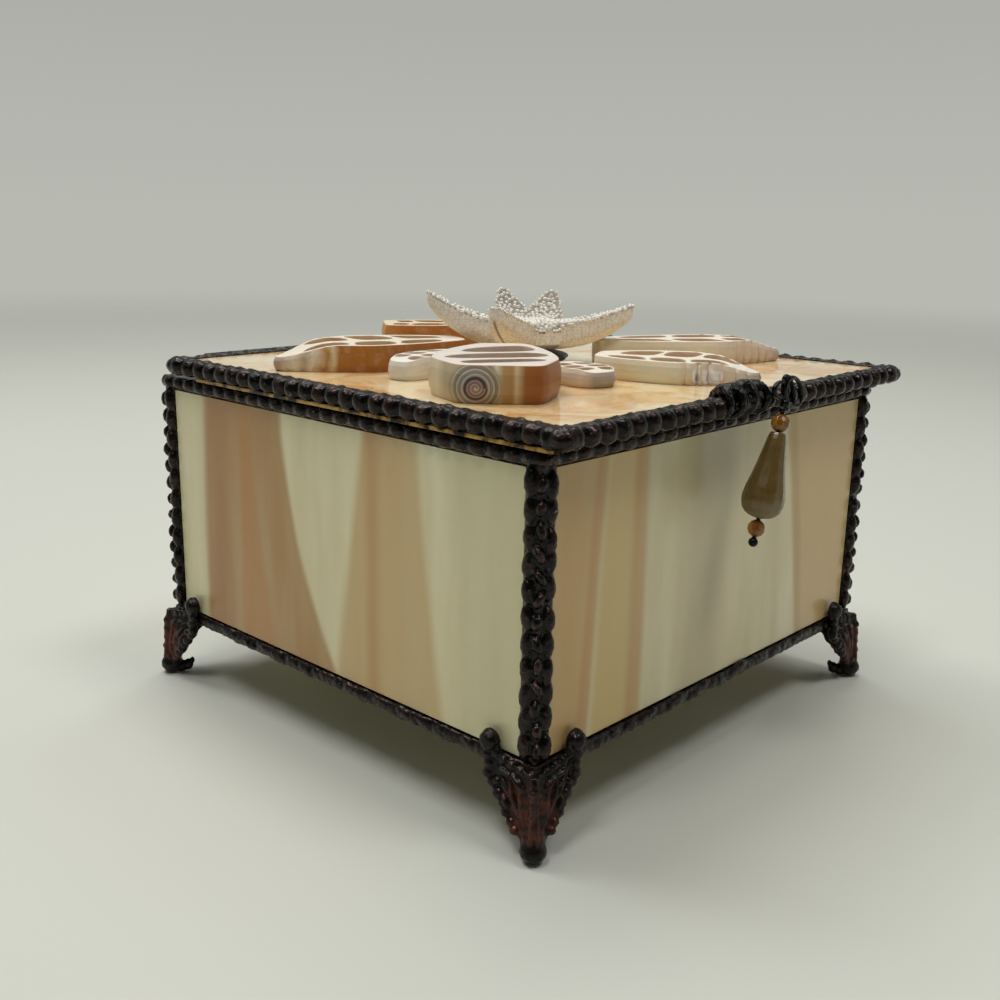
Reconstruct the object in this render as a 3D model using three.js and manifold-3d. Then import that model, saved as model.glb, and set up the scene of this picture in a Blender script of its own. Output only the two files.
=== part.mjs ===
// A stained glass jewelry box: five glass panes in beaded metal edges, on four cast feet,
// with a hinged glass lid that carries cut sea shells, a starfish and a beaded pull.
// Lengths are in millimetres. X runs along the front, Y from front to back, Z up.

import * as THREE from 'three';
import { mergeVertices } from 'three/addons/utils/BufferGeometryUtils.js';
import Module from 'manifold-3d';

const wasm = await Module();
wasm.setup();

// Box
const bodyWidth = 127;
const bodyDepth = 127;
const bodyTop = 79.4;
const bodyBottom = 16;
const glassThickness = 3;
const paneInset = 1.2; // a pane's face lies this far behind the metal's face
const edgeWidth = 4.8; // metal seen beside a pane, and its depth into the box
const rimHeight = 3.3;
const baseHeight = 3;
const seam = 0.3; // gap between pieces that touch
const flatness = 0.02; // how far a face may move when flat faces are merged

// Bead rows on the metal edges
const rimPitch = 4.5;
const rimBulge = 0.7;
const postPitch = 5.2;
const postBulge = 0.8;
const basePitch = 14;
const baseBulge = 0.3;
const valleyDepth = 0.55; // how far the metal dips between two beads
const edgeRounding = 1.1; // how far a bar's long edges are drawn in

// Lid
const lidWidth = 131;
const lidDepth = 127.6;
const frontOverhang = 6.4;
const bandHeight = 4.6;
const bandDepth = 4.2;
const bandPitch = 4.6;
const bandBulge = 0.6;
const bandCorner = 3.4;
const rimCorner = 2.8;
const lidGap = 0.6; // air between the lid's beads and the rim's beads
const lidGlassDrop = 0.9; // lid glass below the top of its banding

// Hinge
const rodRadius = 0.8;
const tubeWall = 0.6;
const hingePlay = 0.3;
const tubeInset = 11; // from the side of the box to the end of the tube
const rodReach = 3; // rod that shows beyond each end of the tube

// Feet
const footHeight = 23.6;
const wingReach = 13.4;
const wingThickness = 1.2;
const wingStandOff = 1.5; // wing face in front of the metal's face
const leafRelief = 0.5; // how far the leaves stand out of a wing
const ankleWidth = 2.6;
const ankleHeight = 4.4;
const earRadius = 2.3;
const footFlare = 2.4; // how far the leg swings outwards at the toe
const toeRadius = 2.8;
const soleDepth = 0.5; // toe ball cut off flat

// Cut shells on the lid
const shellGroup = 100; // width of the whole group, for which the table of shells is written
const outerWall = 0.14; // a shell's walls and core, as shares of its half width
const shellCore = 0.1;
const crossWall = 0.05; // walls between its chambers, as a share of its length
const chamberStagger = 0.05; // chambers on the right nearer to the tip, as a share of its length

// Starfish and the dark pad under it
const starReach = 26;
const starThickness = 7;
const starWaist = 0.38; // radius between two arms, as a share of the reach
const starX = 2;
const starY = -1;
const padRadius = 10.5;
const padHeight = 2.6;

// Beaded pull
const pullX = 3;
const pullLean = 17; // degrees towards the left
const wireRadius = 0.45;
const beadHole = 0.8;
const topBeadRadius = 2;
const dropLength = 18.4;
const dropRadius = 4.5;
const lowBeadRadius = 1.9;
const pinHeadRadius = 1.05;
const loopRadius = 3.4;
const loopWire = 0.85;
const loopSquash = 0.75; // height of the loop as a share of its radius
const loopPlay = 1.1; // between the loop's wire and the beads of the banding
const windingLength = 15;
const windingHeight = 2.4;
const windingOffset = 13;

// Values worked out from the ones above
const faceX = bodyWidth / 2;
const faceY = bodyDepth / 2;
const paneBottom = bodyBottom + baseHeight + seam;
const paneTop = bodyTop - rimHeight - seam;
const paneHeight = paneTop - paneBottom;
const paneWidthX = bodyWidth - 2 * (edgeWidth + seam);
const paneWidthY = bodyDepth - 2 * (edgeWidth + seam);
const bandBottom = bodyTop + lidGap;
const bandMiddle = bandBottom + bandHeight / 2;
const lidTop = bandBottom + bandHeight - lidGlassDrop;
const lidFront = -faceY - frontOverhang;
const lidBack = lidFront + lidDepth;
const tubeRadius = rodRadius + hingePlay + tubeWall;
const hingeY = lidBack + seam + tubeRadius;
const tubeLength = bodyWidth - 2 * tubeInset;

const finishes = {
  paneGlass: [0xcfc6a2, 0.25, 0],
  lidGlass: [0xcbb48a, 0.2, 0],
  patina: [0x1c1917, 0.45, 0.8],
  footMetal: [0x3a2520, 0.5, 0.8],
  brass: [0x2b2622, 0.45, 0.9],
  shell: [0xe6d8c2, 0.35, 0],
  shellTan: [0xb9813f, 0.3, 0],
  starfish: [0xe4dccb, 0.8, 0],
  pad: [0x14110f, 0.6, 0],
  wire: [0x171514, 0.4, 0.7],
  amber: [0x9a6b1f, 0.15, 0],
  smoky: [0x5b4a26, 0.2, 0],
};

const model = new THREE.Group();

// Merges shared corners, so that a geometry is one closed surface.
function weld(geometry) {
  const bare = geometry.index ? geometry.toNonIndexed() : geometry.clone();
  bare.deleteAttribute('normal');
  bare.deleteAttribute('uv');
  const welded = mergeVertices(bare, 1e-4);
  welded.computeVertexNormals();
  return welded;
}

function solidOf(geometry) {
  const welded = weld(geometry);
  return new wasm.Manifold(new wasm.Mesh({
    numProp: 3,
    vertProperties: new Float32Array(welded.attributes.position.array),
    triVerts: new Uint32Array(welded.index.array),
  }));
}

function geometryOf(solid) {
  const mesh = solid.getMesh();
  const geometry = new THREE.BufferGeometry();
  geometry.setAttribute('position', new THREE.BufferAttribute(mesh.vertProperties, 3));
  geometry.setIndex(new THREE.BufferAttribute(mesh.triVerts, 1));
  geometry.computeVertexNormals();
  return geometry;
}

// Merges faces that lie flat beside each other.
function flatten(geometry) {
  return geometryOf(solidOf(geometry).simplify(flatness));
}

function join(...geometries) {
  return geometryOf(geometries.map(solidOf).reduce((whole, next) => whole.add(next)));
}

function cut(geometry, ...tools) {
  return geometryOf(tools.map(solidOf).reduce((rest, tool) => rest.subtract(tool), solidOf(geometry)));
}

// Moves every corner of a geometry by a rule.
function reshape(geometry, move) {
  const welded = weld(geometry);
  const position = welded.attributes.position;
  const point = new THREE.Vector3();
  for (let i = 0; i < position.count; i += 1) {
    point.fromBufferAttribute(position, i);
    move(point);
    position.setXYZ(i, point.x, point.y, point.z);
  }
  welded.computeVertexNormals();
  return welded;
}

function place(name, geometry, finish, parent = model) {
  const [color, roughness, metalness] = finishes[finish];
  const material = new THREE.MeshStandardMaterial({ color, roughness, metalness });
  const mesh = new THREE.Mesh(geometry, material);
  mesh.name = name;
  parent.add(mesh);
  return mesh;
}

function block(name, size, at, finish) {
  const mesh = place(name, new THREE.BoxGeometry(...size), finish);
  mesh.position.set(...at);
  return mesh;
}

// Height of a bead row at a distance along it: 1 on a bead, 0 between two beads.
function beadAt(distance, length, pitch) {
  const count = Math.round(length / pitch);
  return 0.5 - 0.5 * Math.cos(2 * Math.PI * count * (distance / length + 0.5));
}

// A bar along X with a row of beads on its outer side, which faces -Y. A round one has a
// ridge along the middle of its beads, and a corner draws its ends in on the outer side.
function beadedBar({ length, depth, height, pitch, bulge, corner = 0, round = false }) {
  const steps = 2 * Math.round(length / pitch);
  const bar = new THREE.BoxGeometry(length, depth, height, steps, 1, round ? 2 : 1);
  return flatten(reshape(bar, (point) => {
    const bead = beadAt(point.x, length, pitch);
    const ridge = Math.abs(point.z) < height / 4;
    const outer = point.y < 0;
    if (!outer) return;
    if (!ridge) point.z -= Math.sign(point.z) * valleyDepth * (1 - bead);
    const nearEnd = Math.max(0, Math.abs(point.x) - (length / 2 - corner));
    const turn = corner - Math.sqrt(Math.max(0, corner ** 2 - nearEnd ** 2));
    const drawnIn = round && !ridge ? edgeRounding * (1 - 0.4 * bead) : -bulge * bead;
    point.y += drawnIn + Math.min(turn, depth / 2);
  }));
}

// A corner post along Z. Its outer corner points to -X and -Y.
function cornerPost(height) {
  const steps = 2 * Math.round(height / postPitch);
  const post = new THREE.BoxGeometry(edgeWidth, edgeWidth, height, 2, 2, steps);
  return flatten(reshape(post, (point) => {
    const bead = beadAt(point.z, height, postPitch);
    const outerX = point.x < -edgeWidth / 4;
    const outerY = point.y < -edgeWidth / 4;
    if (outerX && outerY) {
      point.x += edgeRounding - 0.4 * bead;
      point.y += edgeRounding - 0.4 * bead;
    } else if (outerX && Math.abs(point.y) < edgeWidth / 4) {
      point.x -= postBulge * bead;
    } else if (outerY && Math.abs(point.x) < edgeWidth / 4) {
      point.y -= postBulge * bead;
    }
  }));
}

// The four sides: how far each is turned from the front, and where its outer face lies.
const sides = [
  { name: 'front', turn: 0, out: faceY, span: bodyWidth, pane: paneWidthX },
  { name: 'right', turn: Math.PI / 2, out: faceX, span: bodyDepth, pane: paneWidthY },
  { name: 'back', turn: Math.PI, out: faceY, span: bodyWidth, pane: paneWidthX },
  { name: 'left', turn: -Math.PI / 2, out: faceX, span: bodyDepth, pane: paneWidthY },
];

function makeBody() {
  for (const side of sides) {
    const frame = new THREE.Group();
    frame.rotation.z = side.turn;
    model.add(frame);
    const across = side.name === 'front' || side.name === 'back';
    const length = across ? side.span : side.span - 2 * (edgeWidth + seam);

    const pane = new THREE.BoxGeometry(side.pane, glassThickness, paneHeight);
    const glass = place(`pane_${side.name}`, pane, 'paneGlass', frame);
    glass.position.set(0, -side.out + paneInset + glassThickness / 2, (paneBottom + paneTop) / 2);

    const rim = beadedBar({
      length,
      depth: edgeWidth,
      height: rimHeight,
      pitch: rimPitch,
      bulge: rimBulge,
      corner: across ? rimCorner : 0,
    });
    const rimBar = place(`rim_${side.name}`, rim, 'patina', frame);
    rimBar.position.set(0, -side.out + edgeWidth / 2, bodyTop - rimHeight / 2);

    const base = beadedBar({
      length, depth: edgeWidth, height: baseHeight, pitch: basePitch, bulge: baseBulge,
    });
    const baseBar = place(`base_${side.name}`, base, 'patina', frame);
    baseBar.position.set(0, -side.out + edgeWidth / 2, bodyBottom + baseHeight / 2);
  }
  const floorSize = [paneWidthX, paneWidthY, glassThickness];
  block('pane_bottom', floorSize, [0, 0, bodyBottom + glassThickness / 2], 'paneGlass');
}

// The corners, as signs of X and Y.
const corners = [
  { name: 'front_left', x: -1, y: -1 },
  { name: 'front_right', x: 1, y: -1 },
  { name: 'back_right', x: 1, y: 1 },
  { name: 'back_left', x: -1, y: 1 },
];

function cornerFrame(corner) {
  const frame = new THREE.Group();
  frame.position.set(corner.x * faceX, corner.y * faceY, 0);
  frame.rotation.z = Math.atan2(corner.y, corner.x) - Math.atan2(-1, -1);
  model.add(frame);
  return frame;
}

// One wing of a foot, in the XZ plane, from the corner out along +X: a round ear at the top
// and a lobed lower edge that draws in to the ankle.
function footWing() {
  const baseTop = bodyBottom + baseHeight;
  const earX = wingReach - earRadius;
  const earZ = footHeight - earRadius;
  const outline = new THREE.Shape();
  outline.moveTo(-wingStandOff, baseTop - 1);
  outline.lineTo(earX - earRadius, baseTop - 0.5);
  outline.absarc(earX, earZ, earRadius, Math.PI, -Math.PI / 5, true);
  const lobes = 3;
  const startX = wingReach - 1.2;
  const startZ = baseTop - 2;
  for (let i = 1; i <= lobes * 2; i += 1) {
    const share = i / (lobes * 2);
    const bump = i % 2 === 1 ? 0.9 : -0.2;
    const x = startX + (ankleWidth - startX) * share ** 0.8 + bump;
    const z = startZ + (ankleHeight - startZ) * share;
    outline.lineTo(x, z);
  }
  outline.lineTo(ankleWidth, ankleHeight - 2.4);
  outline.lineTo(-wingStandOff, ankleHeight - 2.4);
  const wing = new THREE.ExtrudeGeometry(outline, {
    depth: wingThickness, bevelEnabled: false, curveSegments: 4,
  });
  wing.rotateX(Math.PI / 2);
  wing.translate(0, -wingStandOff + wingThickness, 0);
  return wing;
}

// Raised leaves on a wing: a boss on the ear, a leaf down the corner and two side leaves.
function footLeaves() {
  const leaf = (x, z, wide, tall, lean) => {
    const lobe = new THREE.SphereGeometry(1, 5, 4);
    lobe.scale(wide, leafRelief, tall);
    lobe.rotateY(lean);
    lobe.translate(x, -wingStandOff, z);
    return lobe;
  };
  const middle = (bodyBottom + ankleHeight) / 2;
  return [
    leaf(wingReach - earRadius, footHeight - earRadius, 1.5, 1.5, 0),
    leaf(wingReach * 0.6, bodyBottom, 1.3, 3, -0.9),
    leaf(wingReach * 0.38, middle, 1.2, 3.2, -0.5),
  ];
}

// A corner foot with its outer corner towards -X and -Y: two wings, leaves and a curled toe.
function cornerFoot() {
  const wings = [footWing(), ...footLeaves()];
  const twins = wings.map((piece) => {
    // The other wing is the mirror image across the corner's diagonal.
    const twin = reshape(piece, (point) => point.set(point.y, point.x, point.z));
    twin.setIndex(Array.from(twin.index.array).reverse());
    return twin;
  });
  const toe = new THREE.SphereGeometry(toeRadius, 8, 5);
  toe.scale(1, 1, 0.85);
  toe.translate(0.4, 0.4, toeRadius * 0.85 - soleDepth);
  const curl = new THREE.SphereGeometry(1.3, 5, 4);
  curl.translate(2.4, 2.4, 2.2);
  const ridge = new THREE.SphereGeometry(1, 5, 5);
  ridge.scale(1.5, 1.5, bodyBottom / 2 - 1);
  ridge.translate(-wingStandOff * 0.5, -wingStandOff * 0.5, bodyBottom / 2 + 2);
  const under = new THREE.BoxGeometry(4 * toeRadius, 4 * toeRadius, toeRadius);
  under.translate(0, 0, -toeRadius / 2);
  const seatLength = 2 * wingReach;
  const seat = new THREE.BoxGeometry(seatLength, seatLength, footHeight);
  const seatFace = -(baseBulge + seam);
  seat.translate(seatFace + seatLength / 2, seatFace + seatLength / 2, bodyBottom - seam + footHeight / 2);
  const whole = flatten(cut(join(...wings, ...twins, toe, curl, ridge), under, seat));
  const kneeHeight = bodyBottom - 2;
  return reshape(whole, (point) => {
    const below = Math.max(0, kneeHeight - point.z) / kneeHeight;
    const swing = (footFlare * below ** 2) / Math.SQRT2;
    point.x -= swing;
    point.y -= swing;
  });
}

function makeCorners() {
  const postHeight = paneTop - paneBottom;
  for (const corner of corners) {
    const frame = cornerFrame(corner);
    const post = place(`post_${corner.name}`, cornerPost(postHeight), 'patina', frame);
    post.position.set(edgeWidth / 2, edgeWidth / 2, (paneTop + paneBottom) / 2);
    place(`foot_${corner.name}`, cornerFoot(), 'footMetal', frame);
  }
}

// The lid's glass in its beaded banding. The front and back bars take in the corners.
function makeLid() {
  const centreY = (lidFront + lidBack) / 2;
  const inner = bandDepth + seam;
  const glassSize = [lidWidth - 2 * inner, lidDepth - 2 * inner, glassThickness];
  block('lid_glass', glassSize, [0, centreY, lidTop - glassThickness / 2], 'lidGlass');
  for (const side of sides) {
    const across = side.name === 'front' || side.name === 'back';
    const length = across ? lidWidth : lidDepth - 2 * inner;
    const out = (across ? lidDepth : lidWidth) / 2;
    const frame = new THREE.Group();
    frame.position.set(0, centreY, bandMiddle);
    frame.rotation.z = side.turn;
    model.add(frame);
    const band = beadedBar({
      length,
      depth: bandDepth,
      height: bandHeight,
      pitch: bandPitch,
      bulge: side.name === 'back' ? 0 : bandBulge,
      corner: across ? bandCorner : 0,
      round: side.name !== 'back',
    });
    const bar = place(`lid_band_${side.name}`, band, 'patina', frame);
    bar.position.set(0, -out + bandDepth / 2, 0);
  }
}

// The hinge: a tube along the lid's back edge turns on a rod, whose bent ends stand on the rim.
function makeHinge() {
  const half = tubeLength / 2;
  const bore = rodRadius + hingePlay;
  const profile = [
    new THREE.Vector2(bore, -half),
    new THREE.Vector2(tubeRadius, -half),
    new THREE.Vector2(tubeRadius, half),
    new THREE.Vector2(bore, half),
    new THREE.Vector2(bore, -half),
  ];
  const tube = place('hinge_tube', new THREE.LatheGeometry(profile, 12), 'brass');
  tube.rotation.z = Math.PI / 2;
  tube.position.set(0, hingeY, bandMiddle);

  const rodLength = tubeLength + 2 * rodReach;
  const rod = new THREE.CylinderGeometry(rodRadius, rodRadius, rodLength, 8);
  rod.rotateZ(Math.PI / 2);
  const legHeight = bandMiddle - bodyTop - seam;
  const legs = [-1, 1].map((end) => {
    const leg = new THREE.CylinderGeometry(rodRadius, rodRadius * 1.2, legHeight, 8);
    leg.rotateX(Math.PI / 2);
    leg.translate(end * (rodLength / 2 - 1.6 * rodRadius), 0, -legHeight / 2);
    return leg;
  });
  const bent = place('hinge_rod', join(rod, ...legs), 'brass');
  bent.position.set(0, hingeY, bandMiddle);
}

// Cut shells. Each lies from its tip, or spire, to its foot; left and right are its half widths
// as seen from the tip, and spire is how much of its length the pointed end takes. Lengths are
// for a group of shells 100 mm across.
const shells = [
  { name: 'shell_left', tip: [-56.5, 24.5], foot: [-13.5, 7.5], left: 12, right: 10,
    thick: 6.2, spire: 0.42, blunt: 0.1, finish: 'shellTan' },
  { name: 'shell_back', tip: [-4.5, 46.5], foot: [22, 26], left: 8, right: 8,
    thick: 6.4, spire: 0.26, blunt: 0.8, finish: 'shellTan' },
  { name: 'shell_near', tip: [-50, -42.8], foot: [-22.5, -16.8], left: 16, right: 10,
    thick: 7.6, spire: 0.3, blunt: 0.62, finish: 'shell' },
  { name: 'shell_small_left', tip: [-45.5, -5.2], foot: [-25, -1], left: 4.6, right: 4.6,
    thick: 5, spire: 0.35, blunt: 0.6, finish: 'shell' },
  { name: 'shell_small_front', tip: [-18.5, -41.5], foot: [-15.5, -27], left: 6, right: 5,
    thick: 4, spire: 0.35, blunt: 0.6, finish: 'shell' },
  { name: 'shell_front', tip: [12.5, -60.5], foot: [-4.5, -27.5], left: 9, right: 13.5,
    thick: 5, spire: 0.42, blunt: 0.1, finish: 'shell' },
  { name: 'shell_right', tip: [55, -40.5], foot: [13, -13], left: 9, right: 8,
    thick: 6, spire: 0.36, blunt: 0.1, finish: 'shell' },
];

// Half width of a cut shell, as a share of its greatest, at a share of the way from tip to foot.
function shellWidth(share, shell) {
  if (share < shell.spire) {
    const climb = share / shell.spire;
    return shell.blunt + (1 - shell.blunt) * climb ** 0.85;
  }
  const fall = (share - shell.spire) / (1 - shell.spire);
  return Math.cos(fall * 1.25) ** 0.8;
}

// Where the walls between a shell's chambers cross it, from tip to foot.
function crossWalls(shell) {
  return [shell.spire * 0.42, shell.spire, shell.spire + (1 - shell.spire) * 0.42, 0.93];
}

// A slice through a shell, lying on the lid: a thin outer wall, a core along its middle and
// open chambers between them, which are staggered on the two sides of the core.
function shellSlice(shell) {
  const scale = shellGroup / 100;
  const tip = new THREE.Vector2(...shell.tip).multiplyScalar(scale);
  const foot = new THREE.Vector2(...shell.foot).multiplyScalar(scale);
  const length = tip.distanceTo(foot);
  const reach = { left: shell.left * scale, right: -shell.right * scale };
  const steps = 7;
  const outline = [];
  for (const side of ['right', 'left']) {
    for (let i = 0; i <= steps; i += 1) {
      const share = side === 'right' ? i / steps : 1 - i / steps;
      outline.push(new THREE.Vector2(share * length, reach[side] * shellWidth(share, shell)));
    }
  }
  const shape = new THREE.Shape(outline);
  for (const side of ['left', 'right']) {
    const marks = crossWalls(shell).map((mark) => mark - (side === 'right' ? chamberStagger : 0));
    for (let i = 1; i < marks.length; i += 1) {
      const from = marks[i - 1] + crossWall / 2;
      const span = marks[i] - crossWall / 2 - from;
      const inner = [[1, 0], [0.5, 0.12], [0, 0.04]];
      const rim = [[0, 0.62], [0.2, 0.95], [0.5, 1], [0.8, 0.95], [1, 0.62]];
      const chamber = [...rim, ...inner].map(([along, out]) => {
        const share = from + along * span;
        const room = shellWidth(share, shell) - outerWall - shellCore;
        return new THREE.Vector2(share * length, reach[side] * (shellCore + out * room));
      });
      shape.holes.push(new THREE.Path(side === 'left' ? chamber : chamber.reverse()));
    }
  }
  const slice = new THREE.ExtrudeGeometry(shape, { depth: shell.thick * scale, bevelEnabled: false });
  slice.rotateZ(foot.clone().sub(tip).angle());
  slice.translate(tip.x, tip.y, lidTop + seam);
  return slice;
}

// Arms of the starfish: direction in degrees, reach and rise of the tip, as shares of its reach.
const arms = [
  { turn: 196, reach: 0.74, rise: 0.24 },
  { turn: 134, reach: 0.98, rise: 0.34 },
  { turn: 70, reach: 0.6, rise: 0.35 },
  { turn: 20, reach: 0.6, rise: 0.33 },
  { turn: 306, reach: 0.98, rise: 0.25 },
];
const armSpread = 0.6; // half angle of an arm at its root, in radians
const tipBluntness = 1.18;
const flatCore = 0.2; // the middle of the underside stays flat to this share

// Reach and rise of the starfish in one direction, from the nearest arm.
function starAt(angle) {
  let best = { reach: starWaist, rise: 0 };
  for (const arm of arms) {
    const off = Math.abs(THREE.MathUtils.euclideanModulo(
      angle - THREE.MathUtils.degToRad(arm.turn) + Math.PI, 2 * Math.PI) - Math.PI);
    const near = Math.min(1, tipBluntness * Math.max(0, 1 - off / armSpread) ** 1.4);
    const reach = starWaist + (arm.reach - starWaist) * near;
    if (reach > best.reach) {
      const climb = (reach - flatCore) / (arm.reach - flatCore);
      best = { reach, rise: arm.rise * climb ** 1.5 };
    }
  }
  return best;
}

function starfish() {
  const ball = new THREE.SphereGeometry(1, 40, 6);
  ball.rotateX(Math.PI / 2);
  return reshape(ball, (point) => {
    const radius = Math.hypot(point.x, point.y);
    const angle = Math.atan2(point.y, point.x);
    const star = starAt(angle);
    const out = radius * star.reach;
    const climb = Math.max(0, out - flatCore) / (star.reach - flatCore);
    const thin = 1 - 0.42 * out;
    point.x = Math.cos(angle) * out * starReach;
    point.y = Math.sin(angle) * out * starReach;
    point.z = star.rise * starReach * climb ** 1.5 + (point.z * starThickness * thin) / 2;
  });
}

function makeDecoration() {
  for (const shell of shells) place(shell.name, shellSlice(shell), shell.finish);
  const pad = new THREE.CylinderGeometry(padRadius * 0.85, padRadius, padHeight, 12);
  pad.rotateX(Math.PI / 2);
  const dark = place('starfish_pad', pad, 'pad');
  dark.position.set(starX, starY, lidTop + seam + padHeight / 2);
  const star = place('starfish', starfish(), 'starfish');
  star.position.set(starX, starY, lidTop + 2 * seam + padHeight + starThickness / 2);
}

// A bead turned about Z with a hole along it, from its half outline: [radius, height] pairs.
function bead(outline, segments) {
  const profile = outline.map(([radius, height]) => new THREE.Vector2(radius, height));
  profile.push(profile[0].clone());
  const turned = new THREE.LatheGeometry(profile, segments);
  turned.rotateX(Math.PI / 2);
  return turned;
}

function roundBead(radius) {
  const outline = [];
  const tilt = Math.asin(beadHole / radius);
  const steps = 4;
  for (let i = 0; i <= steps; i += 1) {
    const angle = tilt + ((Math.PI - 2 * tilt) * i) / steps;
    outline.push([radius * Math.sin(angle), -radius * Math.cos(angle)]);
  }
  return bead(outline, 8);
}

// The pull: a wire wound on the front banding makes a loop, and beads hang from it on a pin.
function makePull() {
  const hang = new THREE.Group();
  const startY = lidFront - bandBulge - loopWire - loopPlay;
  hang.position.set(pullX, startY, bandMiddle);
  hang.rotation.y = THREE.MathUtils.degToRad(pullLean);
  model.add(hang);

  let top = -bandHeight / 2 - 0.4;
  const string = (name, geometry, height, finish) => {
    const piece = place(name, geometry, finish, hang);
    piece.position.z = top - height / 2;
    top -= height + seam;
  };
  const tallOf = (radius) => 2 * Math.sqrt(radius ** 2 - beadHole ** 2);
  string('pull_bead_top', roundBead(topBeadRadius), tallOf(topBeadRadius), 'amber');
  const half = dropLength / 2;
  const drop = [
    [beadHole, -half], [dropRadius * 0.55, -half * 0.95], [dropRadius * 0.92, -half * 0.78],
    [dropRadius, -half * 0.5], [dropRadius * 0.8, -half * 0.05], [dropRadius * 0.45, half * 0.85],
    [dropRadius * 0.36, half], [beadHole, half],
  ];
  string('pull_drop', bead(drop, 8), dropLength, 'smoky');
  string('pull_bead_low', roundBead(lowBeadRadius), tallOf(lowBeadRadius), 'amber');

  const loopCentre = bandHeight / 2 - 0.2;
  const loopFoot = loopCentre - loopSquash * loopRadius;
  const loop = new THREE.TorusGeometry(loopRadius, loopWire, 6, 14);
  loop.scale(1.2, loopSquash, 1);
  loop.rotateX(Math.PI / 2);
  loop.translate(loopRadius / 2, 0, loopCentre);
  const pinFoot = top - pinHeadRadius;
  const pin = new THREE.CylinderGeometry(wireRadius, wireRadius, loopFoot - pinFoot, 6);
  pin.rotateX(Math.PI / 2);
  pin.translate(0, 0, (pinFoot + loopFoot) / 2);
  const head = new THREE.SphereGeometry(pinHeadRadius, 8, 6);
  head.translate(0, 0, pinFoot);
  place('pull_wire', join(loop, pin, head), 'wire', hang);

  const winding = new THREE.SphereGeometry(1, 10, 5);
  winding.scale(windingLength / 2, bandDepth / 2, windingHeight / 2);
  winding.translate(
    pullX - windingOffset, lidFront + bandDepth / 2,
    bandBottom + bandHeight + seam + windingHeight / 2,
  );
  place('pull_winding', winding, 'wire');
}

makeBody();
makeCorners();
makeLid();
makeHinge();
makeDecoration();
makePull();

// The origin is on the table, under the middle of the whole part.
const extent = new THREE.Box3().setFromObject(model, true);
const middle = extent.getCenter(new THREE.Vector3());
model.position.set(-middle.x, -middle.y, -extent.min.z);

export default model;
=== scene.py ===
# %% [markdown]
# # A stained glass jewelry box
# The box has five panes of opalescent glass, held in beaded solder under a black patina, on four cast
# feet. Its lid carries slices of sea shell and a dried starfish, and a beaded pull hangs at the front.
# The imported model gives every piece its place. This lesson gives each of them its looks.

# %% Load the frame
import math
import random

import bmesh
import bpy
from mathutils import Matrix, Vector
from mathutils.kdtree import KDTree


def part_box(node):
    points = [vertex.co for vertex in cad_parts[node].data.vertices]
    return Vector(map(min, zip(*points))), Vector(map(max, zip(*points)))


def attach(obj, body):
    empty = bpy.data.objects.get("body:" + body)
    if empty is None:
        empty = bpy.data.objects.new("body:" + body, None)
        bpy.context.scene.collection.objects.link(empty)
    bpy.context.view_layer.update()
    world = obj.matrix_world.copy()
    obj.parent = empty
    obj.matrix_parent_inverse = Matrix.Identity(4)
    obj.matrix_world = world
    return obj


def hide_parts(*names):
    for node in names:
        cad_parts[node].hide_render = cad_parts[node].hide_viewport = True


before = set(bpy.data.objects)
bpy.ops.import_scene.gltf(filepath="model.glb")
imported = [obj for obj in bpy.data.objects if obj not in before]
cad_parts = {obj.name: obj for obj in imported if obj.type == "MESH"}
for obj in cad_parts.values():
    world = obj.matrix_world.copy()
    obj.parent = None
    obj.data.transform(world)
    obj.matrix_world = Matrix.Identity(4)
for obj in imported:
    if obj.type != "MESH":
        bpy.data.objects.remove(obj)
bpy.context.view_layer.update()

# %% [markdown]
# ## Units and places
# Blender works in metres, and the pieces are described in millimetres from the middle of the box, with
# the front towards -Y. The middle comes from the floor pane, because the model's origin is under the
# middle of everything, the pull included.

# %% Units and places
MM = 0.001
floor_low, floor_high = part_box("pane_bottom")
MIDDLE_Y = (floor_low.y + floor_high.y) / 2


def at(x, y, z):
    """A point in metres, from millimetres measured from the middle of the box."""
    return Vector((x * MM, y * MM + MIDDLE_Y, z * MM))


def colour(code, alpha=1.0):
    """A colour for Blender, from a hex code as a screen shows it."""
    parts = [int(code[i:i + 2], 16) / 255 for i in (1, 3, 5)]
    linear = [c / 12.92 if c <= 0.04045 else ((c + 0.055) / 1.055) ** 2.4 for c in parts]
    return (*linear, alpha)


BODY = 127.0 / 2
BODY_TOP, BODY_BOTTOM = 79.4, 16.0
LID_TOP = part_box("lid_glass")[1].z / MM
print("middle of the box at y =", round(MIDDLE_Y / MM, 2), "mm, lid glass top at", round(LID_TOP, 2), "mm")

# %% [markdown]
# ## The camera
# The photograph was taken from a little above the lid, facing the near corner. Its place and focal
# length were solved from the box's edges, so a straight copy of them gives the same view.

# %% The camera
FOCAL_PIXELS, FRAME_PIXELS, SENSOR_WIDTH = 1118.54, 1000, 36
CAMERA_PLACE = at(-207.25, -187.95, 119.3)
TURN, TILT, ROLL = (math.radians(degrees) for degrees in (43.12, -14.33, -1.04))

lens = bpy.data.cameras.new("photo_camera")
lens.sensor_width = SENSOR_WIDTH
lens.lens = SENSOR_WIDTH * FOCAL_PIXELS / FRAME_PIXELS
lens.clip_start = 0.01
camera = bpy.data.objects.new("photo_camera", lens)
bpy.context.scene.collection.objects.link(camera)
look = Vector((math.cos(TILT) * math.cos(TURN), math.cos(TILT) * math.sin(TURN), math.sin(TILT)))
right = look.cross(Vector((0, 0, 1))).normalized()
up = right.cross(look)
tipped_right = math.cos(ROLL) * right - math.sin(ROLL) * up
tipped_up = tipped_right.cross(look)
axes = Matrix((tipped_right, tipped_up, -look)).transposed()
camera.matrix_world = Matrix.Translation(CAMERA_PLACE) @ axes.to_4x4()
bpy.context.scene.camera = camera
print("camera at", [round(v, 4) for v in camera.location], "lens", round(lens.lens, 2), "mm")

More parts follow.
